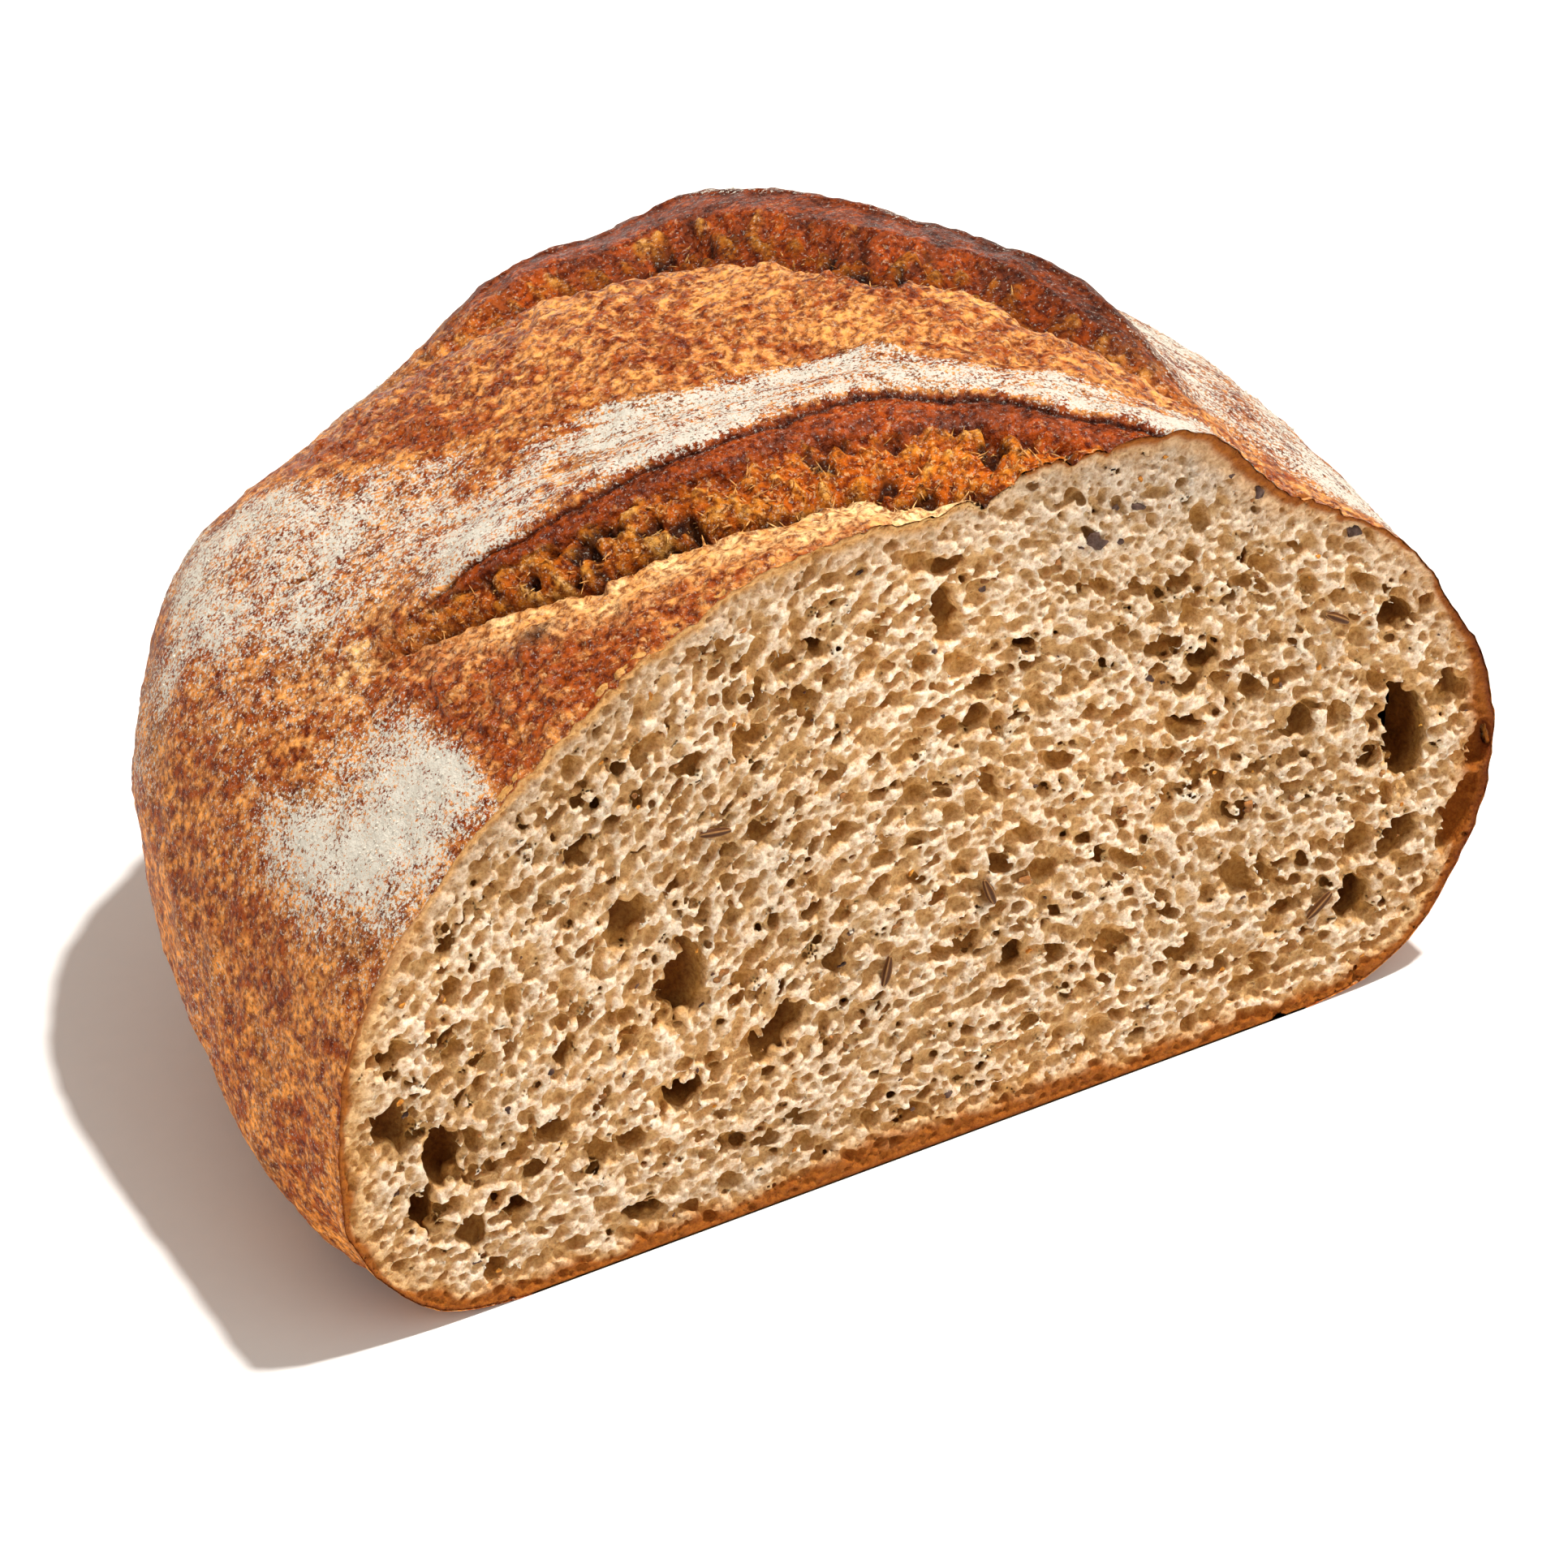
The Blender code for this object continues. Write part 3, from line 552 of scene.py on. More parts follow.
MOTTLE_DARK, MOTTLE_LIGHT = (0.40, 0.26, 0.18, 1), (1.42, 1.44, 1.42, 1)
FLECK_GOLD = (0.80, 0.46, 0.20, 1)
FLOUR_GREY, FLOUR_WHITE = (0.56, 0.505, 0.415, 1), (0.80, 0.765, 0.68, 1)
crust_material, tree, shader = start_material(
    "baked_crust", {"Specular IOR Level": 0.05, "Coat Roughness": 0.22})
mottle = add_noise(tree, 1100, 5)
mottle_tone = add_ramp(tree, add_range(tree, mottle, 0.39, 0.59), MOTTLE_DARK, MOTTLE_LIGHT)
base = add_mix(tree, 1.0, attribute(tree, "tone", "Color"), mottle_tone, "MULTIPLY")
fleck = add_range(tree, add_noise(tree, 1500, 4), 0.57, 0.63)
fleck = add_math(tree, "MULTIPLY", fleck, add_range(tree, attribute(tree, "tone"), 0.08, 0.16, 0.0, 0.6))
base = add_mix(tree, fleck, base, FLECK_GOLD)
dust = add_range(tree, add_noise(tree, 2100, 6, 0.74), 0.39, 0.61)
level = add_math(tree, "SUBTRACT", 1.0, attribute(tree, "flour"))
covered = add_range(tree, add_math(tree, "SUBTRACT", dust, level), -0.08, 0.14)
base = add_mix(tree, covered, base, add_mix(tree, add_noise(tree, 420, 4), FLOUR_GREY, FLOUR_WHITE))
tree.links.new(base, shader.inputs["Base Color"])
dull = add_math(tree, "SUBTRACT", 0.52, add_math(tree, "MULTIPLY", attribute(tree, "gloss"), 0.26))
dull = add_math(tree, "ADD", dull, add_math(tree, "MULTIPLY", covered, 0.3))
dull = add_math(tree, "ADD", dull, add_range(tree, mottle, 0.3, 0.7, -0.12, 0.12))
tree.links.new(dull, shader.inputs["Roughness"])
shine_spots = add_range(tree, add_noise(tree, 1900, 3), 0.50, 0.60, 0.0, 0.85)
shine = add_math(tree, "MULTIPLY", attribute(tree, "gloss"), shine_spots)
tree.links.new(shine, shader.inputs["Coat Weight"])
relief = add_math(tree, "ADD", add_math(tree, "MULTIPLY", add_noise(tree, 900, 5, 0.7), 0.7),
                  add_math(tree, "MULTIPLY", add_noise(tree, 2600, 3), 0.25))
add_bump(tree, shader, 0.9, 0.0007, relief, ("Normal", "Coat Normal"))

skin_normals = even_normals(skin_vertex, skin_quads)
outward = (skin_normals * (skin_vertex - [0, 0, HEART_HEIGHT / 1000])).sum(1).mean()
if outward < 0:
    skin_quads = skin_quads[:, ::-1]
    skin_normals = -skin_normals
skin_values = {"tone": tone, "flour": flour, "gloss": gloss}
column_of = (skin_quads % column_count).min(1)
for name, chosen in (("crust_top", column_of < TOP_COLUMNS), ("crust_sides", column_of >= TOP_COLUMNS)):
    mesh_piece(
        name, skin_vertex, skin_normals, skin_quads[chosen], skin_values, crust_material)

# Bare crumb
# The open inside of the loaf, laid bare by the knife: thin walls of set dough round gas cells of every
# size, drawn out the way the dough was rolled. It is denser and browner towards the crust.
VOXEL = 0.368
DEPTH = 9.0
FRONT_MARGIN = 0.9
RIM_LAP = 0.04
# Of each large hole: its place across and up the cut, half its length and width, its tilt and its depth
LARGE_HOLES = [
    (-74.2, 33.0, 4.6, 2.7, 95, 4.0), (-67.3, 26.0, 5.0, 2.7, 98, 5.0), (-70.3, 18.5, 4.0, 1.9, 92, 5.0),
    (-63.8, 12.8, 3.0, 2.4, 95, 3.0), (-58.0, 14.0, 2.6, 1.6, -40, 5.0), (-34.0, 22.3, 2.7, 2.3, -20, 6.0),
    (-40.5, 6.2, 3.3, 1.4, -10, 5.0), (-34.6, 39.5, 6.2, 3.1, 86, 4.5), (-21.0, 27.0, 4.7, 2.6, 52, 4.5),
    (-42.4, 52.0, 3.8, 3.0, 70, 3.5), (-74.5, 43.8, 2.6, 1.3, 60, 3.5), (-66.8, 43.8, 2.4, 1.2, 62, 4.0),
    (-66.0, 51.0, 2.6, 1.3, 62, 2.5), (-34.0, 72.0, 2.7, 1.6, -5, 3.0), (-48.4, 65.0, 3.0, 1.8, 60, 3.5),
    (-43.0, 75.0, 2.1, 1.2, 75, 3.5), (-18.0, 76.4, 2.5, 1.6, -25, 3.0), (-16.0, 83.0, 2.1, 1.2, -45, 4.0),
    (-51.0, 35.0, 2.2, 1.8, 60, 3.0), (-46.0, 18.0, 3.2, 1.8, -30, 2.5), (69.8, 39.5, 7.8, 3.2, 98, 8.0),
    (67.4, 57.5, 3.2, 2.1, -35, 4.0), (77.0, 43.5, 3.0, 1.8, -50, 3.5), (65.0, 36.2, 2.0, 1.7, 0, 4.0),
    (63.5, 15.0, 3.4, 2.5, 90, 6.5), (63.5, 24.0, 2.6, 2.3, 40, 3.0), (53.8, 46.0, 2.5, 2.2, 0, 3.5),
    (38.8, 61.5, 2.9, 1.9, -35, 4.5), (37.0, 57.9, 1.8, 1.6, 0, 3.5), (37.4, 52.2, 2.3, 1.0, -30, 5.0),
    (32.7, 65.3, 2.2, 1.8, -20, 3.0), (46.5, 54.5, 2.7, 1.6, -40, 3.0), (46.0, 25.0, 5.0, 2.0, -55, 2.5),
    (38.0, 16.5, 2.6, 2.1, 0, 3.0), (53.0, 17.5, 2.1, 1.9, 0, 3.0), (12.5, 25.3, 2.8, 1.9, -40, 4.0),
    (6.0, 29.7, 2.2, 2.0, 0, 3.0), (16.7, 37.0, 2.5, 1.7, -20, 2.5), (1.6, 82.0, 4.4, 2.3, 88, 3.5),
    (13.5, 72.3, 1.9, 1.2, -35, 5.0), (7.5, 69.0, 2.9, 1.5, -10, 3.0), (8.7, 53.5, 3.0, 1.6, -70, 2.5),
]
# The same of each smaller hole, but for its depth, which follows from its width
SMALLER_HOLES = [
    (-72, 52.5, 1.8, 1.0, 60), (-48.3, 74.5, 1.5, 1, 0), (-25, 73, 2, 1.3, 0), (-5.5, 84, 1.3, 0.8, -45),
    (-8.5, 79, 1.8, 0.9, -60), (-1.5, 75, 1.6, 1, 0), (-63.5, 26.5, 2, 1.2, 100), (-52.5, 24, 2.5, 1.8, -20),
    (-62.5, 35, 1.6, 1.2, 70), (-42, 34.5, 1.7, 1.2, 0), (-41.5, 18, 2, 1.6, 0), (-57.5, 22, 1.6, 1.2, 0),
    (-16, 43.5, 1.8, 1.4, 0), (-22, 44, 1.3, 1.3, 0), (-13, 35, 3, 1.5, 80), (-14.5, 25, 2, 0.8, 80),
    (-11, 25, 2.2, 0.7, 80), (-2, 6.3, 2.6, 1.2, 0), (-61, 5.8, 1.7, 1.7, 0), (-55, 4.7, 1.3, 0.8, 0),
    (-52, 4.3, 1, 0.6, 0), (-80, 22, 1.2, 0.5, 90), (-25.5, 18.5, 1.5, 0.9, -50), (74.2, 42, 2.8, 0.8, -55),
    (70, 22.5, 3.5, 2.2, 40), (41.3, 57.3, 1.8, 1.1, 0), (32.3, 62, 1.5, 1.1, 0), (36.5, 70.5, 3, 0.9, -15),
    (41.5, 70, 1.2, 0.9, 0), (47, 69, 2, 0.9, -60), (50, 54, 1.6, 1.3, 0), (38.5, 44.5, 1.8, 1.2, -20),
    (42.5, 41.5, 2, 1.2, -40), (35, 48, 2.2, 1, -35), (48, 41.5, 1.8, 1.2, 0), (49.5, 25, 2.6, 1.4, -60),
    (43, 11.8, 1.7, 1.3, 0), (49.3, 8, 1.8, 1.3, 0), (57.3, 5, 3.5, 0.7, 20), (18.8, 23.5, 1.5, 1.5, 0),
    (35.5, 23.5, 1.7, 1.2, -40), (23.5, 16, 2, 1, 0), (27, 22, 3, 1.2, -20), (9.5, 62.5, 2.5, 0.9, 85),
    (4.5, 56.3, 1.2, 1, 0), (6.3, 64.5, 2, 1.8, 0), (23, 59, 1.3, 1, 0), (27.5, 57.5, 1.6, 1, 0),
    (25.5, 70, 1.5, 0.7, 0), (24.5, 72.4, 1, 0.6, 0), (59, 45, 1.2, 1.1, 0), (21.5, 31, 1.5, 0.8, -20),
    (29.5, 34, 4, 1, -35), (59, 25, 1.5, 0.9, 0), (12, 11, 4, 0.7, 0), (81.5, 33, 3.5, 1.4, 85),
    (79, 23.5, 6, 1.9, 70), (74, 12.5, 1.2, 1, 0), (72, 58.5, 1.2, 1.2, 0),
]


def heart_angle(x, z):
    """Angles round the loaf's heart of places in the cut, in degrees."""
    return np.degrees(np.arctan2(z - HEART_HEIGHT, x)) % 360


cut_edge = skin_points[:column_count]
edge_angle = heart_angle(cut_edge[:, 0], cut_edge[:, 2])
edge_radius = np.hypot(cut_edge[:, 0], cut_edge[:, 2] - HEART_HEIGHT)
order = np.argsort(edge_angle)
edge_angle, edge_radius = edge_angle[order], edge_radius[order]


def crust_gap(x, z):
    """How far places in the cut lie inside the crust."""
    reach = np.interp(heart_angle(x, z), edge_angle, edge_radius, period=360)
    return reach - np.hypot(x, z - HEART_HEIGHT)


def crumb_lean(angle):
    """How much the crumb narrows with its depth, under the ears and the breast most of all."""
    return 0.05 + 0.95 * near(angle, 84, 24)


LOW_CORNER = np.array([-86.0, -FRONT_MARGIN, -0.9])
field_size = tuple(int(length / VOXEL) for length in (173.5, DEPTH + FRONT_MARGIN, 104.5))
xs, ys, zs = [LOW_CORNER[axis] + VOXEL * np.arange(field_size[axis]) for axis in range(3)]
flat_x, flat_z = np.meshgrid(xs, zs, indexing="ij")
rim_gap = crust_gap(flat_x, flat_z)
lean = crumb_lean(heart_angle(flat_x, flat_z))
best = np.full(field_size, -9.0, np.float32)
runner_up = np.full(field_size, -9.0, np.float32)


def flow_tilt(x, z):
    """The tilt of the crumb's cells, in degrees: steep at the left, sloping at the right, flat low down."""
    return (58 - 95 * np.clip((x + 25) / 43, 0, 1)) * smooth(z, 6, 31)


def turned(dx, dz, tilt):
    """Steps across and up as steps along and square to a line of the given tilt."""
    c, s = math.cos(math.radians(tilt)), math.sin(math.radians(tilt))
    return dx * c + dz * s, dz * c - dx * s


def press_cell(centre, halves, tilt, strength=1.0):
    """Marks one gas cell in the crumb: how deep each point lies in it, beside the cell that is deepest."""
    reach = max(halves) + 0.6
    low = np.maximum(np.floor((centre - reach - LOW_CORNER) / VOXEL).astype(int), 0)
    high = np.minimum(np.ceil((centre + reach - LOW_CORNER) / VOXEL).astype(int) + 1, field_size)
    if (high <= low).any():
        return
    dx = (xs[low[0]:high[0]] - centre[0])[:, None, None]
    dy = (ys[low[1]:high[1]] - centre[1])[None, :, None]
    dz = (zs[low[2]:high[2]] - centre[2])[None, None, :]
    along, square = turned(dx, dz, tilt)
    far = np.sqrt((along / halves[0])**2 + (dy / halves[2])**2 + (square / halves[1])**2)
    inside = ((1 - far) * min(halves) * strength).astype(np.float32)
    box = (slice(low[0], high[0]), slice(low[1], high[1]), slice(low[2], high[2]))
    old_best, old_second = best[box], runner_up[box]
    runner_up[box] = np.maximum(np.minimum(inside, old_best), old_second)
    best[box] = np.maximum(old_best, inside)


# Holes with a place of their own, each with lobes round it, then the cells that a rule scatters
LOBES = 5
CUT_LEFT, CUT_WIDTH, CUT_HEIGHT = -85, 171, 101
draw = np.random.default_rng(5)
for x, z, long_half, short_half, tilt, depth in LARGE_HOLES:
    press_cell(np.array([x, 0.2 * depth, z]), (long_half * 1.1, short_half * 1.1, depth), tilt, 1.5)
    for _ in range(LOBES):
        way = draw.uniform(0, 2 * math.pi)
        out_x, out_z = math.cos(way) * long_half * 0.75, math.sin(way) * short_half * 0.75
        c, s = math.cos(math.radians(tilt)), math.sin(math.radians(tilt))
        size = short_half * draw.uniform(0.35, 0.6)
        sunk = draw.uniform(0.1, 0.5) * depth
        centre = np.array([x + out_x * c - out_z * s, sunk, z + out_x * s + out_z * c])
        press_cell(centre, (size * 1.3, size, size), tilt + draw.uniform(-30, 30), 1.3)
for x, z, long_half, short_half, tilt in SMALLER_HOLES:
    depth = short_half * 1.7
    press_cell(np.array([x, 0.35 * depth, z]), (long_half * 1.12, short_half * 1.12, depth * 1.1), tilt, 1.4)
# Of each class of cells: how many are tried, their half sizes, their slimness, the share that is kept
# and how far in they reach
CELL_CLASSES = ((1500, 1.1, 2.0, 0.45, 0.8, 0.8, 2.0), (2600, 0.6, 1.0, 0.5, 0.85, 0.9, 1.6))
for count, least, most, slim, full, share_kept, reach_in in CELL_CLASSES:
    spread = draw.uniform(0, 1, (count, 8))
    x = CUT_LEFT + CUT_WIDTH * spread[:, 0]
    z = 1 + CUT_HEIGHT * spread[:, 1]
    gap = crust_gap(x, z)
    half = least + (most - least) * spread[:, 2]**1.8
    openness = layered(np.stack([x, 0 * x, z], 1), 14, 101, 3)
    dense = np.clip((x - 8) / 20, 0, 1) * smooth(z, 74, 88) * 0.55
    keep = (gap > half + 1.0) & (spread[:, 3] < share_kept + 0.5 * openness - dense)
    half *= 1 - 0.5 * (1 - smooth(gap, 2, 8))
    tilts = flow_tilt(x, z) + (spread[:, 4] - 0.5) * 60
    depths = 0.1 * half + spread[:, 5]**1.5 * reach_in
    slimness = slim + (full - slim) * spread[:, 6]
    for k in np.where(keep)[0]:
        short = half[k] * slimness[k]
        press_cell(np.array([x[k], depths[k], z[k]]), (half[k] * 1.15, short, short * 1.1), tilts[k])

# Small cells lie side by side all over the cut. The knife opens each one as a bowl with a torn edge.
BUCKET_SIDE = 2.6
CLOSEST = 0.84
BOWL_FULLNESS = 2.6
# Of each class of bowls: how many are tried and their half sizes
BOWL_CLASSES = ((900, 1.15, 1.7), (6500, 0.8, 1.15), (20000, 0.52, 0.8), (30000, 0.36, 0.52))
bowl_depth = np.zeros(flat_x.shape)
flat_at = np.stack([flat_x.ravel(), 0 * flat_x.ravel(), flat_z.ravel()], 1)
tear = (0.17 * lattice(flat_at, 0.9, 161) + 0.13 * lattice(flat_at, 2.3, 162)).reshape(flat_x.shape)
buckets = {}
for count, least, most in BOWL_CLASSES:
    spread = draw.uniform(0, 1, (count, 7))
    x = CUT_LEFT + CUT_WIDTH * spread[:, 0]
    z = 0.5 + CUT_HEIGHT * spread[:, 1]
    gap = crust_gap(x, z)
    half = least + (most - least) * spread[:, 2]**1.5
    packed = 1 - 0.38 * np.clip((x - 8) / 20, 0, 1) * smooth(z, 72, 88) - 0.4 * (1 - smooth(gap, 1, 7))
    half *= packed
    tilts = flow_tilt(x, z) + (spread[:, 3] - 0.5) * 70
    for k in np.where(gap > half * 0.8 + 0.5)[0]:
        bucket_x, bucket_z = int(x[k] // BUCKET_SIDE), int(z[k] // BUCKET_SIDE)
        crowd = []
        for beside in ((dx, dz) for dx in (-1, 0, 1) for dz in (-1, 0, 1)):
            crowd += buckets.get((bucket_x + beside[0], bucket_z + beside[1]), [])
        if any((x[k] - other_x)**2 + (z[k] - other_z)**2 < (CLOSEST * (half[k] + other_half))**2
               for other_x, other_z, other_half in crowd):
            continue
        buckets.setdefault((bucket_x, bucket_z), []).append((x[k], z[k], half[k]))
        long_half = half[k] * (1.1 + 0.35 * spread[k, 4])
        short_half = half[k] * (0.98 - 0.25 * spread[k, 4])
        sunk = half[k] * (0.75 + 0.9 * spread[k, 5]**2)
        low_i = max(int((x[k] - long_half - 0.3 - xs[0]) / VOXEL), 0)
        low_j = max(int((z[k] - long_half - 0.3 - zs[0]) / VOXEL), 0)
        across_bowl = int(2 * long_half / VOXEL) + 4
        bowl = (slice(low_i, low_i + across_bowl), slice(low_j, low_j + across_bowl))
        along, square = turned(flat_x[bowl] - x[k], flat_z[bowl] - z[k], tilts[k])
        far = np.sqrt((along / long_half)**2 + (square / short_half)**2) + tear[bowl]
        sunk = sunk * np.clip(1 - np.maximum(far, 0)**BOWL_FULLNESS, 0, 1)
        bowl_depth[bowl] = np.maximum(bowl_depth[bowl], sunk)
torn_top = layered(flat_at, 1.5, 163, 2).reshape(flat_x.shape)
cut_depth = 0.22 + 0.24 * torn_top + 0.10 * lattice(flat_at, 0.7, 164).reshape(flat_x.shape)
cut_depth = np.maximum(cut_depth, 0.03) * smooth(rim_gap, 0.0, 1.2) + bowl_depth

# The crumb is solid where this field is above 0: between the cells, behind the bowls and inside the crust.
at = np.stack(np.meshgrid(xs, ys, zs, indexing="ij"), 3).reshape(-1, 3)
wall = np.maximum(0.20 + 0.14 * lattice(at, 2.2, 111), 0).reshape(field_size)
ridge = (0.16 * lattice(at, 1.7, 121) + 0.14 * lattice(at, 0.85, 122)).reshape(field_size)
crumb_field = np.maximum(-best, wall - (best - runner_up) * 0.5) + ridge * 0.7
front = ys[None, :, None] - cut_depth[:, None, :]
crumb_field = np.minimum(crumb_field, front)
inside_rim = rim_gap[:, None, :] - RIM_LAP - lean[:, None, :] * np.maximum(ys, 0)[None, :, None]
crumb_field = np.minimum(crumb_field, inside_rim).astype(np.float32)


def neighbours(axis):
    """Two cuts of a field, which set each of its places beside the next one along an axis."""
    behind, ahead = [slice(None)] * 3, [slice(None)] * 3
    behind[axis], ahead[axis] = slice(None, -1), slice(1, None)
    return tuple(behind), tuple(ahead)


# Cells that no opening reaches from the front stay solid.
MOST_STEPS = 60
JUST_SOLID = 0.05
air = crumb_field < 0
reached = np.zeros_like(air)
reached[:, 0, :] = air[:, 0, :]
for _ in range(MOST_STEPS):
    grown = reached.copy()
    for axis in range(3):
        behind, ahead = neighbours(axis)
        grown[ahead] |= reached[behind]
        grown[behind] |= reached[ahead]
    grown &= air
    if (grown == reached).all():
        break
    reached = grown
crumb_field[air & ~reached] = JUST_SOLID


def skin_of(field):
    """A skin of quads between the solid and the air of a field, one point to each cell that it crosses."""
    solid = field > 0
    corners = [(a, b, c) for a in (0, 1) for b in (0, 1) for c in (0, 1)]
    n = np.array(field.shape) - 1
    filled = sum(solid[a:a + n[0], b:b + n[1], c:c + n[2]].astype(np.int8) for a, b, c in corners)
    crossed = (filled > 0) & (filled < 8)
    index = np.full(crossed.shape, -1, np.int64)
    cells = np.argwhere(crossed)
    index[crossed] = np.arange(len(cells))
    total, hits = np.zeros((len(cells), 3)), np.zeros(len(cells))
    for start in corners:
        for axis in range(3):
            if start[axis]:
                continue
            end = tuple(1 if a == axis else start[a] for a in range(3))
            first_value = field[tuple((cells + start).T)]
            second_value = field[tuple((cells + end).T)]
            cut = (first_value > 0) != (second_value > 0)
            share = first_value[cut] / (first_value[cut] - second_value[cut])
            point = np.tile(np.array(start, float), (cut.sum(), 1))
            point[:, axis] = share
            total[cut] += point
            hits[cut] += 1
    points = LOW_CORNER + VOXEL * (cells + total / hits[:, None])
    quads = []
    for axis in range(3):
        u, v = (axis + 1) % 3, (axis + 2) % 3
        behind, ahead = neighbours(axis)
        leaves = solid[behind]
        place = np.argwhere(leaves != solid[ahead])
        place = place[(place[:, u] > 0) & (place[:, v] > 0)]
        place = place[(place[:, u] < n[u]) & (place[:, v] < n[v])]
        ring = []
        for du, dv in ((-1, -1), (0, -1), (0, 0), (-1, 0)):
            cell = place.copy()
            cell[:, u] += du
            cell[:, v] += dv
            ring.append(index[tuple(cell.T)])
        ring = np.stack(ring, 1)
        out = leaves[tuple(place.T)]
        ring[~out] = ring[~out][:, ::-1]
        quads.append(ring[(ring >= 0).all(1)])
    return points, np.concatenate(quads)


# What the crust covers, and the back of the field, are left out of the skin.
crumb_points, crumb_quads = skin_of(crumb_field)
crumb_x, sunk, crumb_z = crumb_points.T
angle = heart_angle(crumb_x, crumb_z)
rim = crust_gap(crumb_x, crumb_z)
outer_wall = rim < 0.35 + crumb_lean(angle) * np.maximum(sunk, 0)
hidden = (outer_wall & (sunk > 1.2)) | (sunk > ys[-2] - 0.4)
crumb_quads = crumb_quads[~hidden[crumb_quads].all(1)]

# Tones of the crumb: pale ridges, painted shade that darkens pits and holes with their depth, and a golden to
# dark brown rim
CRUMB_RIDGE = np.array([0.86, 0.705, 0.54])
CRUMB_PIT_SHADE = np.array([0.65, 0.395, 0.17])
CRUMB_HOLLOW_SHADE = np.array([0.48, 0.235, 0.058])
CRUMB_DEEP_SHADE = np.array([0.16, 0.048, 0.004])
RIM_GOLD = np.array([0.74, 0.38, 0.11])
RIM_BROWN = np.array([0.35, 0.105, 0.012])
RIM_DARK = np.array([0.16, 0.032, 0.004])
flat_place = crumb_points * [1, 0.6, 1]
patches = layered(flat_place, 26, 131, 3)
grain = layered(crumb_points, 1.5, 141, 2)
# Painted shade: darker and browner with the depth into the pits and holes
crumb_tone = blend(np.tile(CRUMB_RIDGE, (len(crumb_points), 1)), CRUMB_PIT_SHADE, smooth(sunk, 0.15, 0.9))
crumb_tone = blend(crumb_tone, CRUMB_HOLLOW_SHADE, smooth(sunk, 0.9, 2.2))
crumb_tone = blend(crumb_tone, CRUMB_DEEP_SHADE, smooth(sunk, 1.9, 4.8))
crumb_tone = crumb_tone * (1 + 0.10 * patches + 0.10 * grain)[:, None]
greyer = smooth(crumb_x, 5, 30) * smooth(crumb_z, 76, 92)
crumb_tone = blend(crumb_tone, crumb_tone * [0.80, 0.80, 0.82], greyer)
low_rim = smooth(-crumb_z, -9, -3)
right_rim = smooth(crumb_x, 70, 80) * smooth(crumb_z, 4, 12)
left_rim = smooth(-crumb_x, 68, 78) * (1 - smooth(crumb_z, 55, 70))
top_right = near(angle, 52, 20)
top_left = smooth(angle, 80, 88) * (1 - smooth(angle, 150, 175))
rim_noise = layered(flat_place, 5, 151, 2)
rim_wide = 0.4 + 3.3 * low_rim + 1.1 * top_right + 0.9 * left_rim
rim_wide = rim_wide + (1.5 + 2.0 * near(crumb_z, 28, 13)) * right_rim
rim_wide = np.maximum(rim_wide + (0.6 + 1.2 * low_rim) * rim_noise, 0.25)
rim_warm = np.maximum(smooth(-crumb_z, -22, -10), left_rim)[:, None]
browner = crumb_tone * ([0.86, 0.80, 0.74] - rim_warm * [0.0, 0.07, 0.20])
crumb_tone = blend(crumb_tone, browner, 1 - smooth(rim, 2, 8 + 2 * rim_noise))
gold_band = 1 - smooth(rim, rim_wide * 0.9 + 0.5, rim_wide * 1.6 + 1.6)
crumb_tone = blend(crumb_tone, RIM_GOLD, (0.40 + 0.45 * top_left) * gold_band)
brown_band = 1 - smooth(rim, rim_wide * 0.6, rim_wide * 1.2 + 0.2)
crumb_tone = blend(crumb_tone, RIM_BROWN, (1 - 0.9 * top_left) * brown_band)
dark_line = (1 - top_left) * (1 - smooth(rim, 0.2, 0.7 + 0.6 * right_rim))
crumb_tone = blend(crumb_tone, RIM_DARK, (0.25 + 0.7 * np.maximum(right_rim, low_rim * 0.8)) * dark_line)

# Painted shade and light on pores too small for the mesh: darker where the noise that sets the bump is low,
# lighter where high
PORE_SHADE, PORE_LIGHT = (0.66, 0.52, 0.38, 1), (1.16, 1.18, 1.20, 1)
crumb_material, tree, shader = start_material("rye_crumb", {
    "Roughness": 0.7, "Specular IOR Level": 0.12, "Subsurface Weight": 0.3,
    "Subsurface Radius": (1.0, 0.6, 0.35), "Subsurface Scale": 0.0012})
pores = add_noise(tree, 1500, 4, 0.65)
pore_shade_tone = add_ramp(tree, add_range(tree, pores, 0.3, 0.6), PORE_SHADE, PORE_LIGHT)
base = add_mix(tree, 1.0, attribute(tree, "tone", "Color"), pore_shade_tone, "MULTIPLY")
tree.links.new(base, shader.inputs["Base Color"])
add_bump(tree, shader, 1.0, 0.0005, pores)

crumb_vertex = in_metres(crumb_points)
crumb_normals = even_normals(crumb_vertex, crumb_quads)
quad_x = crumb_x[crumb_quads[:, 0]]
cuts = np.quantile(quad_x, [0, 0.25, 0.5, 0.75, 1])
for k, name in enumerate(("crumb_left", "crumb_left_middle", "crumb_right_middle", "crumb_right")):
    chosen = (quad_x >= cuts[k]) & (quad_x < cuts[k + 1] + (k == 3))
    mesh_piece(
        name, crumb_vertex, crumb_normals, crumb_quads[chosen], {"tone": crumb_tone}, crumb_material)

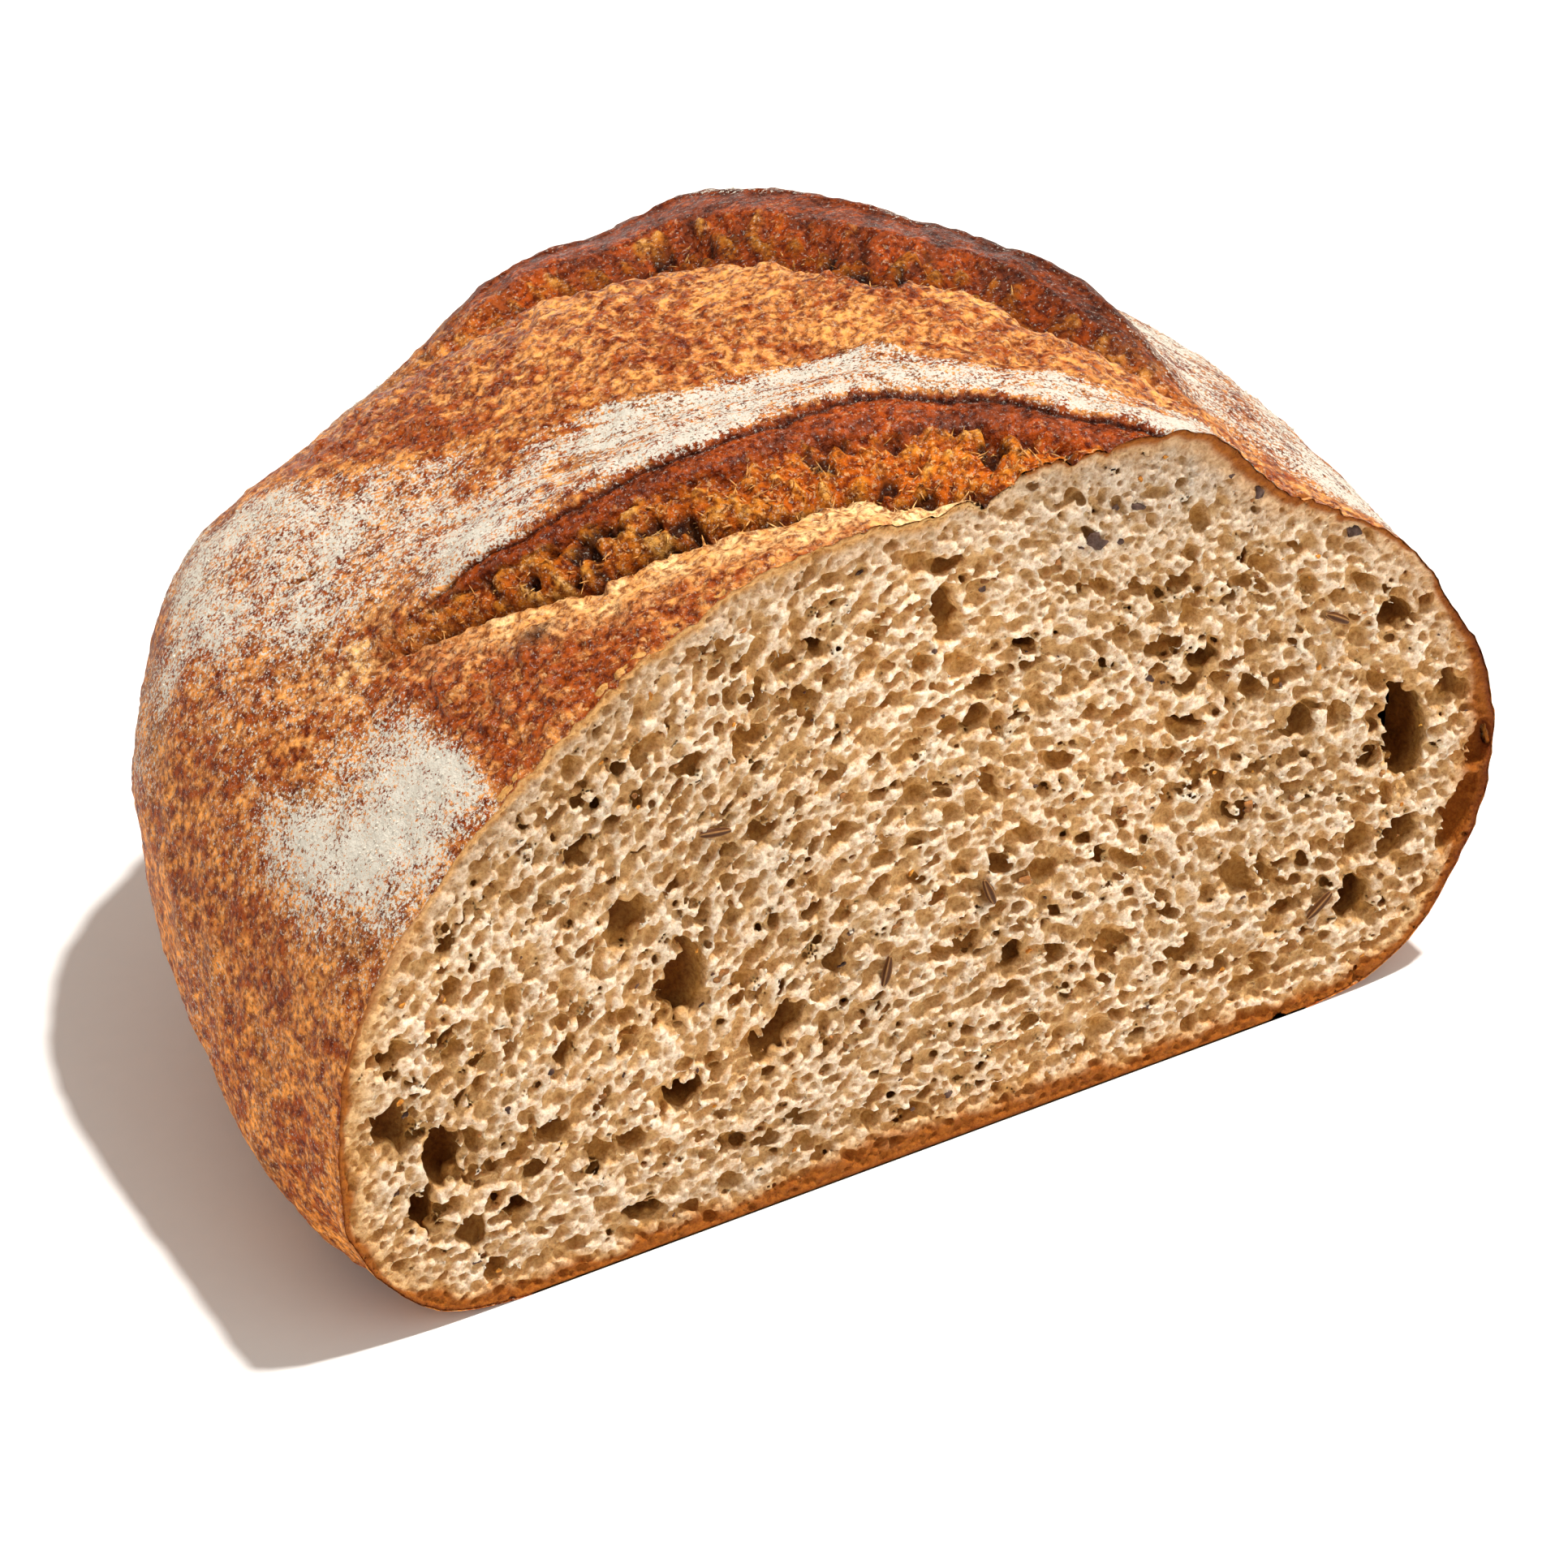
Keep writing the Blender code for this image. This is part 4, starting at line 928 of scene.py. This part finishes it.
# Caraway seeds and bran
# Whole caraway seeds that the knife laid bare, each a slim ribbed grain, with flakes of bran and dark specks
# of malted grain baked into the crumb.
# Of each seed: its place across and up the cut and its tilt. Of each bit: its place and half its size
SEEDS = [(-6, 30.5, 78), (8.6, 37.2, -70), (58.3, 60.9, -35), (-30.2, 61, -10), (58, 16, 40)]
DARK_BITS = [(22.5, 85, 1.5), (29, 87.5, 1.2), (26, 83.5, 0.9), (46, 84, 0.9), (60, 73, 1.1), (31, 61.5, 0.7)]
BRAN_BITS = [(-4.5, 37, 1.0), (14, 36.5, 0.9), (27.5, 47.5, 1.1), (28, 42, 0.8), (46.5, 36, 0.9),
             (-29.5, 39, 0.8)]
SEED_BROWN = np.array([0.085, 0.030, 0.010])
SEED_RIB = np.array([0.46, 0.24, 0.09])
BRAN_BROWN = np.array([0.34, 0.15, 0.05])
BRAN_ORANGE = np.array([0.60, 0.24, 0.04])
MALT_PURPLE = np.array([0.10, 0.060, 0.048])
SEED_HALVES = [2.2, 0.53, 0.6]
SEED_SUNK = 0.22
SEED_RINGS, SEED_SIDES = 18, 30
RIB_COUNT = 5
POLE_GAP = 0.12


def ring_faces(ring_count, side_count, body_count):
    """Quads of like bodies, each a stack of rings of points."""
    grid = np.arange(ring_count * side_count).reshape(ring_count, side_count)
    beside = np.roll(grid, -1, 1)
    faces = np.stack([grid[:-1], beside[:-1], beside[1:], grid[1:]], 2).reshape(-1, 4)
    return (faces[None] + (np.arange(body_count) * grid.size)[:, None, None]).reshape(-1, 4)


def lumps(centres, halves, tilts, rings, sides, ribs=0.0, rough=0.0, seed=0):
    """Small rough bodies from their middles, half sizes and tilts, with ribs along them if they have any."""
    along, around = np.meshgrid(np.linspace(POLE_GAP, math.pi - POLE_GAP, rings + 1),
                                np.linspace(0, 2 * math.pi, sides, endpoint=False), indexing="ij")
    girth = np.sin(along) * (1 + ribs * np.cos(RIB_COUNT * around))
    form = np.stack([-np.cos(along), girth * np.cos(around), girth * np.sin(around)], 2).reshape(-1, 3)
    points = form[None] * halves[:, None]
    scale = np.repeat(halves.mean(1), len(form))[:, None]
    uneven = lattice((points + centres[:, None] * 5).reshape(-1, 3) / scale, 0.9, seed)
    points = points * (1 + rough * uneven.reshape(len(centres), -1))[:, :, None]
    c, s = np.cos(np.radians(tilts))[:, None], np.sin(np.radians(tilts))[:, None]
    points = np.stack([points[..., 0] * c - points[..., 2] * s, points[..., 1],
                       points[..., 0] * s + points[..., 2] * c], 2) + centres[:, None]
    return points.reshape(-1, 3), ring_faces(rings + 1, sides, len(centres)), along.ravel(), around.ravel()


def small_bodies(name, points, quads, count, values, material):
    """One piece made of small bodies, with their quads turned so that they face out."""
    vertex = in_metres(points)
    normals = even_normals(vertex, quads)
    bodies = vertex.reshape(count, -1, 3)
    outward = ((bodies - bodies.mean(1, keepdims=True)) * normals.reshape(count, -1, 3)).sum()
    if outward < 0:
        normals, quads = -normals, quads[:, ::-1]
    mesh_piece(name, vertex, normals, quads, values, material)


seed_places = np.array(SEEDS, float)
seed_centres = np.stack([seed_places[:, 0], np.full(len(SEEDS), SEED_SUNK), seed_places[:, 1]], 1)
seed_points, seed_quads, along, around = lumps(
    seed_centres, np.tile(SEED_HALVES, (len(SEEDS), 1)), seed_places[:, 2], SEED_RINGS, SEED_SIDES,
    ribs=0.13, rough=0.08, seed=171)
rib = np.tile(smooth(np.cos(RIB_COUNT * around), 0.3, 0.95), len(SEEDS))
seed_tone = blend(np.tile(SEED_BROWN, (len(seed_points), 1)), SEED_RIB, rib * 0.8)
seed_tone = blend(seed_tone, SEED_RIB * 0.8, np.tile(smooth(np.abs(np.cos(along)), 0.9, 0.99), len(SEEDS)))
seed_material, tree, shader = start_material("caraway_seed", {"Roughness": 0.5, "Specular IOR Level": 0.1})
streaks = add_noise(tree, 2500, 3)
streak_tone = add_mix(tree, streaks, (0.6, 0.55, 0.5, 1), (1.3, 1.3, 1.3, 1))
base = add_mix(tree, 1.0, attribute(tree, "tone", "Color"), streak_tone, "MULTIPLY")
tree.links.new(base, shader.inputs["Base Color"])
add_bump(tree, shader, 0.4, 0.0002, streaks)
small_bodies(
    "caraway_seeds", seed_points, seed_quads, len(SEEDS), {"tone": seed_tone}, seed_material)

# Flakes of bran and dark specks: first those with a place of their own, then as many as fill the count
BIT_COUNT = 230
RIM_CLEARANCE = 2.5
PROUD_OF_CUT = 0.2
bit_draw = np.random.default_rng(12)
bits = [(x, z, size, MALT_PURPLE) for x, z, size in DARK_BITS]
bits += [(x, z, size, BRAN_BROWN) for x, z, size in BRAN_BITS]
while len(bits) < BIT_COUNT:
    x, z = bit_draw.uniform(-80, 82), bit_draw.uniform(3, 97)
    kind, size = bit_draw.uniform(), bit_draw.uniform(0.16, 0.5)
    if rim_gap[int((x - xs[0]) / VOXEL), int((z - zs[0]) / VOXEL)] < RIM_CLEARANCE:
        continue
    bits.append((x, z, size, MALT_PURPLE * 0.9 if kind < 0.25 else BRAN_BROWN if kind < 0.7 else BRAN_ORANGE))
bit_x, bit_z, bit_size = np.array([bit[:3] for bit in bits]).T
bit_depth = cut_depth[((bit_x - xs[0]) / VOXEL).astype(int), ((bit_z - zs[0]) / VOXEL).astype(int)]
bit_centres = np.stack([bit_x, bit_depth + 0.05, bit_z], 1)
bit_slim = bit_draw.uniform(0.45, 0.9, len(bits))
bit_halves = np.stack([bit_size, np.minimum(bit_size * 0.45, 0.35), bit_size * bit_slim], 1)
bit_tilts = flow_tilt(bit_x, bit_z) + bit_draw.uniform(-40, 40, len(bits))
BIT_RINGS, BIT_SIDES = 6, 8
bit_points, bit_quads, along, around = lumps(
    bit_centres, bit_halves, bit_tilts, BIT_RINGS, BIT_SIDES, rough=0.5, seed=172)
bit_tone = np.repeat(np.array([bit[3] for bit in bits]), len(along), 0)
bit_tone = bit_tone * (1 + 0.35 * lattice(bit_points, 0.4, 173))[:, None]
bit_points[:, 1] = np.maximum(bit_points[:, 1], -PROUD_OF_CUT)
small_bodies("bran_bits", bit_points, bit_quads, len(bits), {"tone": bit_tone}, crumb_material)

# Torn strands
# Threads of dough that stretched as the slashes opened, snapped and baked gold at their tips. They fringe
# the torn walls under both ears and the lip below the first.
STRAND_COUNT = 900
STRAND_STEPS, STRAND_SIDES = 5, 4
ROOT_DEPTH = 0.25
LOOSE_TOP = 101.6
strand_draw = np.random.default_rng(8)
strand_share = wall_1 * smooth(first, 5.5, 8) + 0.3 * wall_2 * smooth(second, 6.5, 9)
strand_share = strand_share + 0.8 * near(first, 15.0, 0.9) * torn_lip * smooth(map_u, -70, -50)
strand_share[seen_from_top == 0] = 0
roots = strand_draw.choice(len(skin_points), STRAND_COUNT, p=strand_share / strand_share.sum())
root_normal = skin_normals[roots]
away = root_normal + strand_draw.normal(0, 0.55, (STRAND_COUNT, 3)) + [0, -0.15, 0.25]
away /= np.linalg.norm(away, axis=1)[:, None]
curl = strand_draw.normal(0, 0.75, (STRAND_COUNT, 3))
length = strand_draw.uniform(0.35, 0.95, STRAND_COUNT)
t = np.linspace(0, 1, STRAND_STEPS)
path = (skin_points[roots] - ROOT_DEPTH * root_normal)[:, None] + length[:, None, None] * (
    t[None, :, None] * away[:, None] + (t**2)[None, :, None] * curl[:, None])
side_way = np.cross(away, curl)
side_way /= np.linalg.norm(side_way, axis=1)[:, None]
other_way = np.cross(away, side_way)
turn_at = np.linspace(0, 2 * math.pi, STRAND_SIDES, endpoint=False)
ring_way = side_way[:, None] * np.cos(turn_at)[:, None] + other_way[:, None] * np.sin(turn_at)[:, None]
thick = strand_draw.uniform(0.12, 0.27, STRAND_COUNT)[:, None] * (1 - 0.85 * t**1.5)[None]
strand_points = path[:, :, None] + ring_way[:, None] * thick[:, :, None, None]
strand_points = strand_points.reshape(-1, 3)
strand_points[:, 1] = np.maximum(strand_points[:, 1], 0.0)
strand_points[:, 2] = np.minimum(strand_points[:, 2], LOOSE_TOP)
strand_quads = ring_faces(STRAND_STEPS, STRAND_SIDES, STRAND_COUNT)
tip = np.repeat(np.tile(t, STRAND_COUNT), STRAND_SIDES)
root_tone = np.repeat(tone[roots] * 1.1, STRAND_STEPS * STRAND_SIDES, 0)
strand_values = {"tone": blend(root_tone, PALE_GOLD * [1.05, 0.95, 0.75], 0.1 + 0.6 * tip),
                 "flour": np.zeros(len(tip)), "gloss": np.full(len(tip), 0.5)}
small_bodies(
    "torn_strands", strand_points, strand_quads, STRAND_COUNT, strand_values, crust_material)

# Flour grains
# Lumps of coarse rye flour that the dough picked up in the proving basket. They are baked onto the crust
# where its dusting lies thickest.
GRAIN_COUNT = 1500
DUSTED = 0.42
grain_draw = np.random.default_rng(9)
grain_share = np.where(seen_from_top & (flour > DUSTED), flour**2, 0)
places = grain_draw.choice(len(skin_points), GRAIN_COUNT, p=grain_share / grain_share.sum())
grain_size = grain_draw.uniform(0.07, 0.24, GRAIN_COUNT)
grain_centres = skin_points[places] + 0.4 * grain_size[:, None] * skin_normals[places]
grain_halves = grain_size[:, None] * grain_draw.uniform(0.6, 1.1, (GRAIN_COUNT, 3))
grain_tilts = grain_draw.uniform(0, 180, GRAIN_COUNT)
GRAIN_RINGS, GRAIN_SIDES = 3, 5
grain_points, grain_quads, along, around = lumps(
    grain_centres, grain_halves, grain_tilts, GRAIN_RINGS, GRAIN_SIDES, rough=0.3, seed=181)
grain_points[:, 1] = np.maximum(grain_points[:, 1], 0.0)
grain_points[:, 2] = np.minimum(grain_points[:, 2], LOOSE_TOP)
flour_material, tree, shader = start_material("rye_flour", {"Roughness": 0.95, "Specular IOR Level": 0.1})
powder = add_noise(tree, 3000, 4)
powder_tone = add_mix(tree, powder, (0.58, 0.53, 0.44, 1), (0.82, 0.785, 0.70, 1))
tree.links.new(powder_tone, shader.inputs["Base Color"])
add_bump(tree, shader, 0.5, 0.0001, powder)
small_bodies("flour_grains", grain_points, grain_quads, GRAIN_COUNT, {}, flour_material)

# Table, light and camera
# A pale seamless studio table, one hard lamp high at the right for the loaf's short shadow, a soft panel in
# front and white surroundings that fill it in. Lengths here are in metres.
TABLE_HALF = 3
floor_mesh = bpy.data.meshes.new("studio_table")
table_corners = [(x * TABLE_HALF, y * TABLE_HALF, 0) for x, y in ((-1, -1), (1, -1), (1, 1), (-1, 1))]
floor_mesh.from_pydata(table_corners, [], [(0, 1, 2, 3)])
floor = bpy.data.objects.new("studio_table", floor_mesh)
bpy.context.scene.collection.objects.link(floor)
floor_material, tree, shader = start_material("white_table", {"Roughness": 0.85})
table_tone = add_mix(tree, add_noise(tree, 260, 4), (0.84, 0.84, 0.84, 1), (0.88, 0.88, 0.88, 1))
tree.links.new(table_tone, shader.inputs["Base Color"])
floor_mesh.materials.append(floor_material)


def stand_up(name, data, place, looks_back):
    """Puts a lamp or the camera in its place, with its back turned the way that is given."""
    thing = bpy.data.objects.new(name, data)
    thing.location = place
    thing.rotation_mode = "QUATERNION"
    thing.rotation_quaternion = looks_back.to_track_quat("Z", "Y")
    bpy.context.scene.collection.objects.link(thing)
    return thing


lamp_data = bpy.data.lights.new("high_lamp", "SUN")
lamp_data.energy = 3.8
lamp_data.angle = math.radians(3)
lamp_data.color = (1.0, 0.97, 0.92)
stand_up("high_lamp", lamp_data, Vector((0, 0, 0)), Vector((0.257, -0.099, 0.961)))

panel_data = bpy.data.lights.new("front_panel", "AREA")
panel_data.shape = "RECTANGLE"
panel_data.size, panel_data.size_y = 0.9, 0.7
panel_data.energy = 1.6
panel_data.color = (1.0, 0.97, 0.93)
panel_place = Vector((0.35, -1.0, 0.75))
stand_up("front_panel", panel_data, panel_place, panel_place - Vector((0, 0, 0.04)))

world = bpy.data.worlds.new("white_surroundings")
world.use_nodes = True
background = world.node_tree.nodes["Background"]
background.inputs["Color"].default_value = (1.0, 0.93, 0.84, 1)
background.inputs["Strength"].default_value = 0.55
bpy.context.scene.world = world

# The camera looks at the loaf from the front left, about a metre away. Its focal length and the point where
# its axis meets the picture are in pixels of the square picture.
AZIMUTH, ELEVATION = math.radians(-29.853), math.radians(35.992)
DISTANCE = 0.9997
AIM = Vector((0, 0.048164, 0.045))
PICTURE_SIDE = 1932
FOCAL_PIXELS = 9762.99
AXIS_RIGHT, AXIS_DOWN = 905.44, 815.84
SENSOR_WIDTH = 36
looks_back = Vector((math.sin(AZIMUTH) * math.cos(ELEVATION), -math.cos(AZIMUTH) * math.cos(ELEVATION),
                     math.sin(ELEVATION)))
camera_data = bpy.data.cameras.new("camera")
camera_data.sensor_width = SENSOR_WIDTH
camera_data.lens = FOCAL_PIXELS / PICTURE_SIDE * SENSOR_WIDTH
camera_data.shift_x = (PICTURE_SIDE / 2 - AXIS_RIGHT) / PICTURE_SIDE
camera_data.shift_y = -(PICTURE_SIDE / 2 - AXIS_DOWN) / PICTURE_SIDE
camera_data.clip_start, camera_data.clip_end = 0.01, 100
camera_place = AIM - Vector(CENTRE_SHIFT / 1000) + looks_back * DISTANCE
bpy.context.scene.camera = stand_up("camera", camera_data, camera_place, looks_back)
bpy.context.scene.view_settings.view_transform = "Standard"
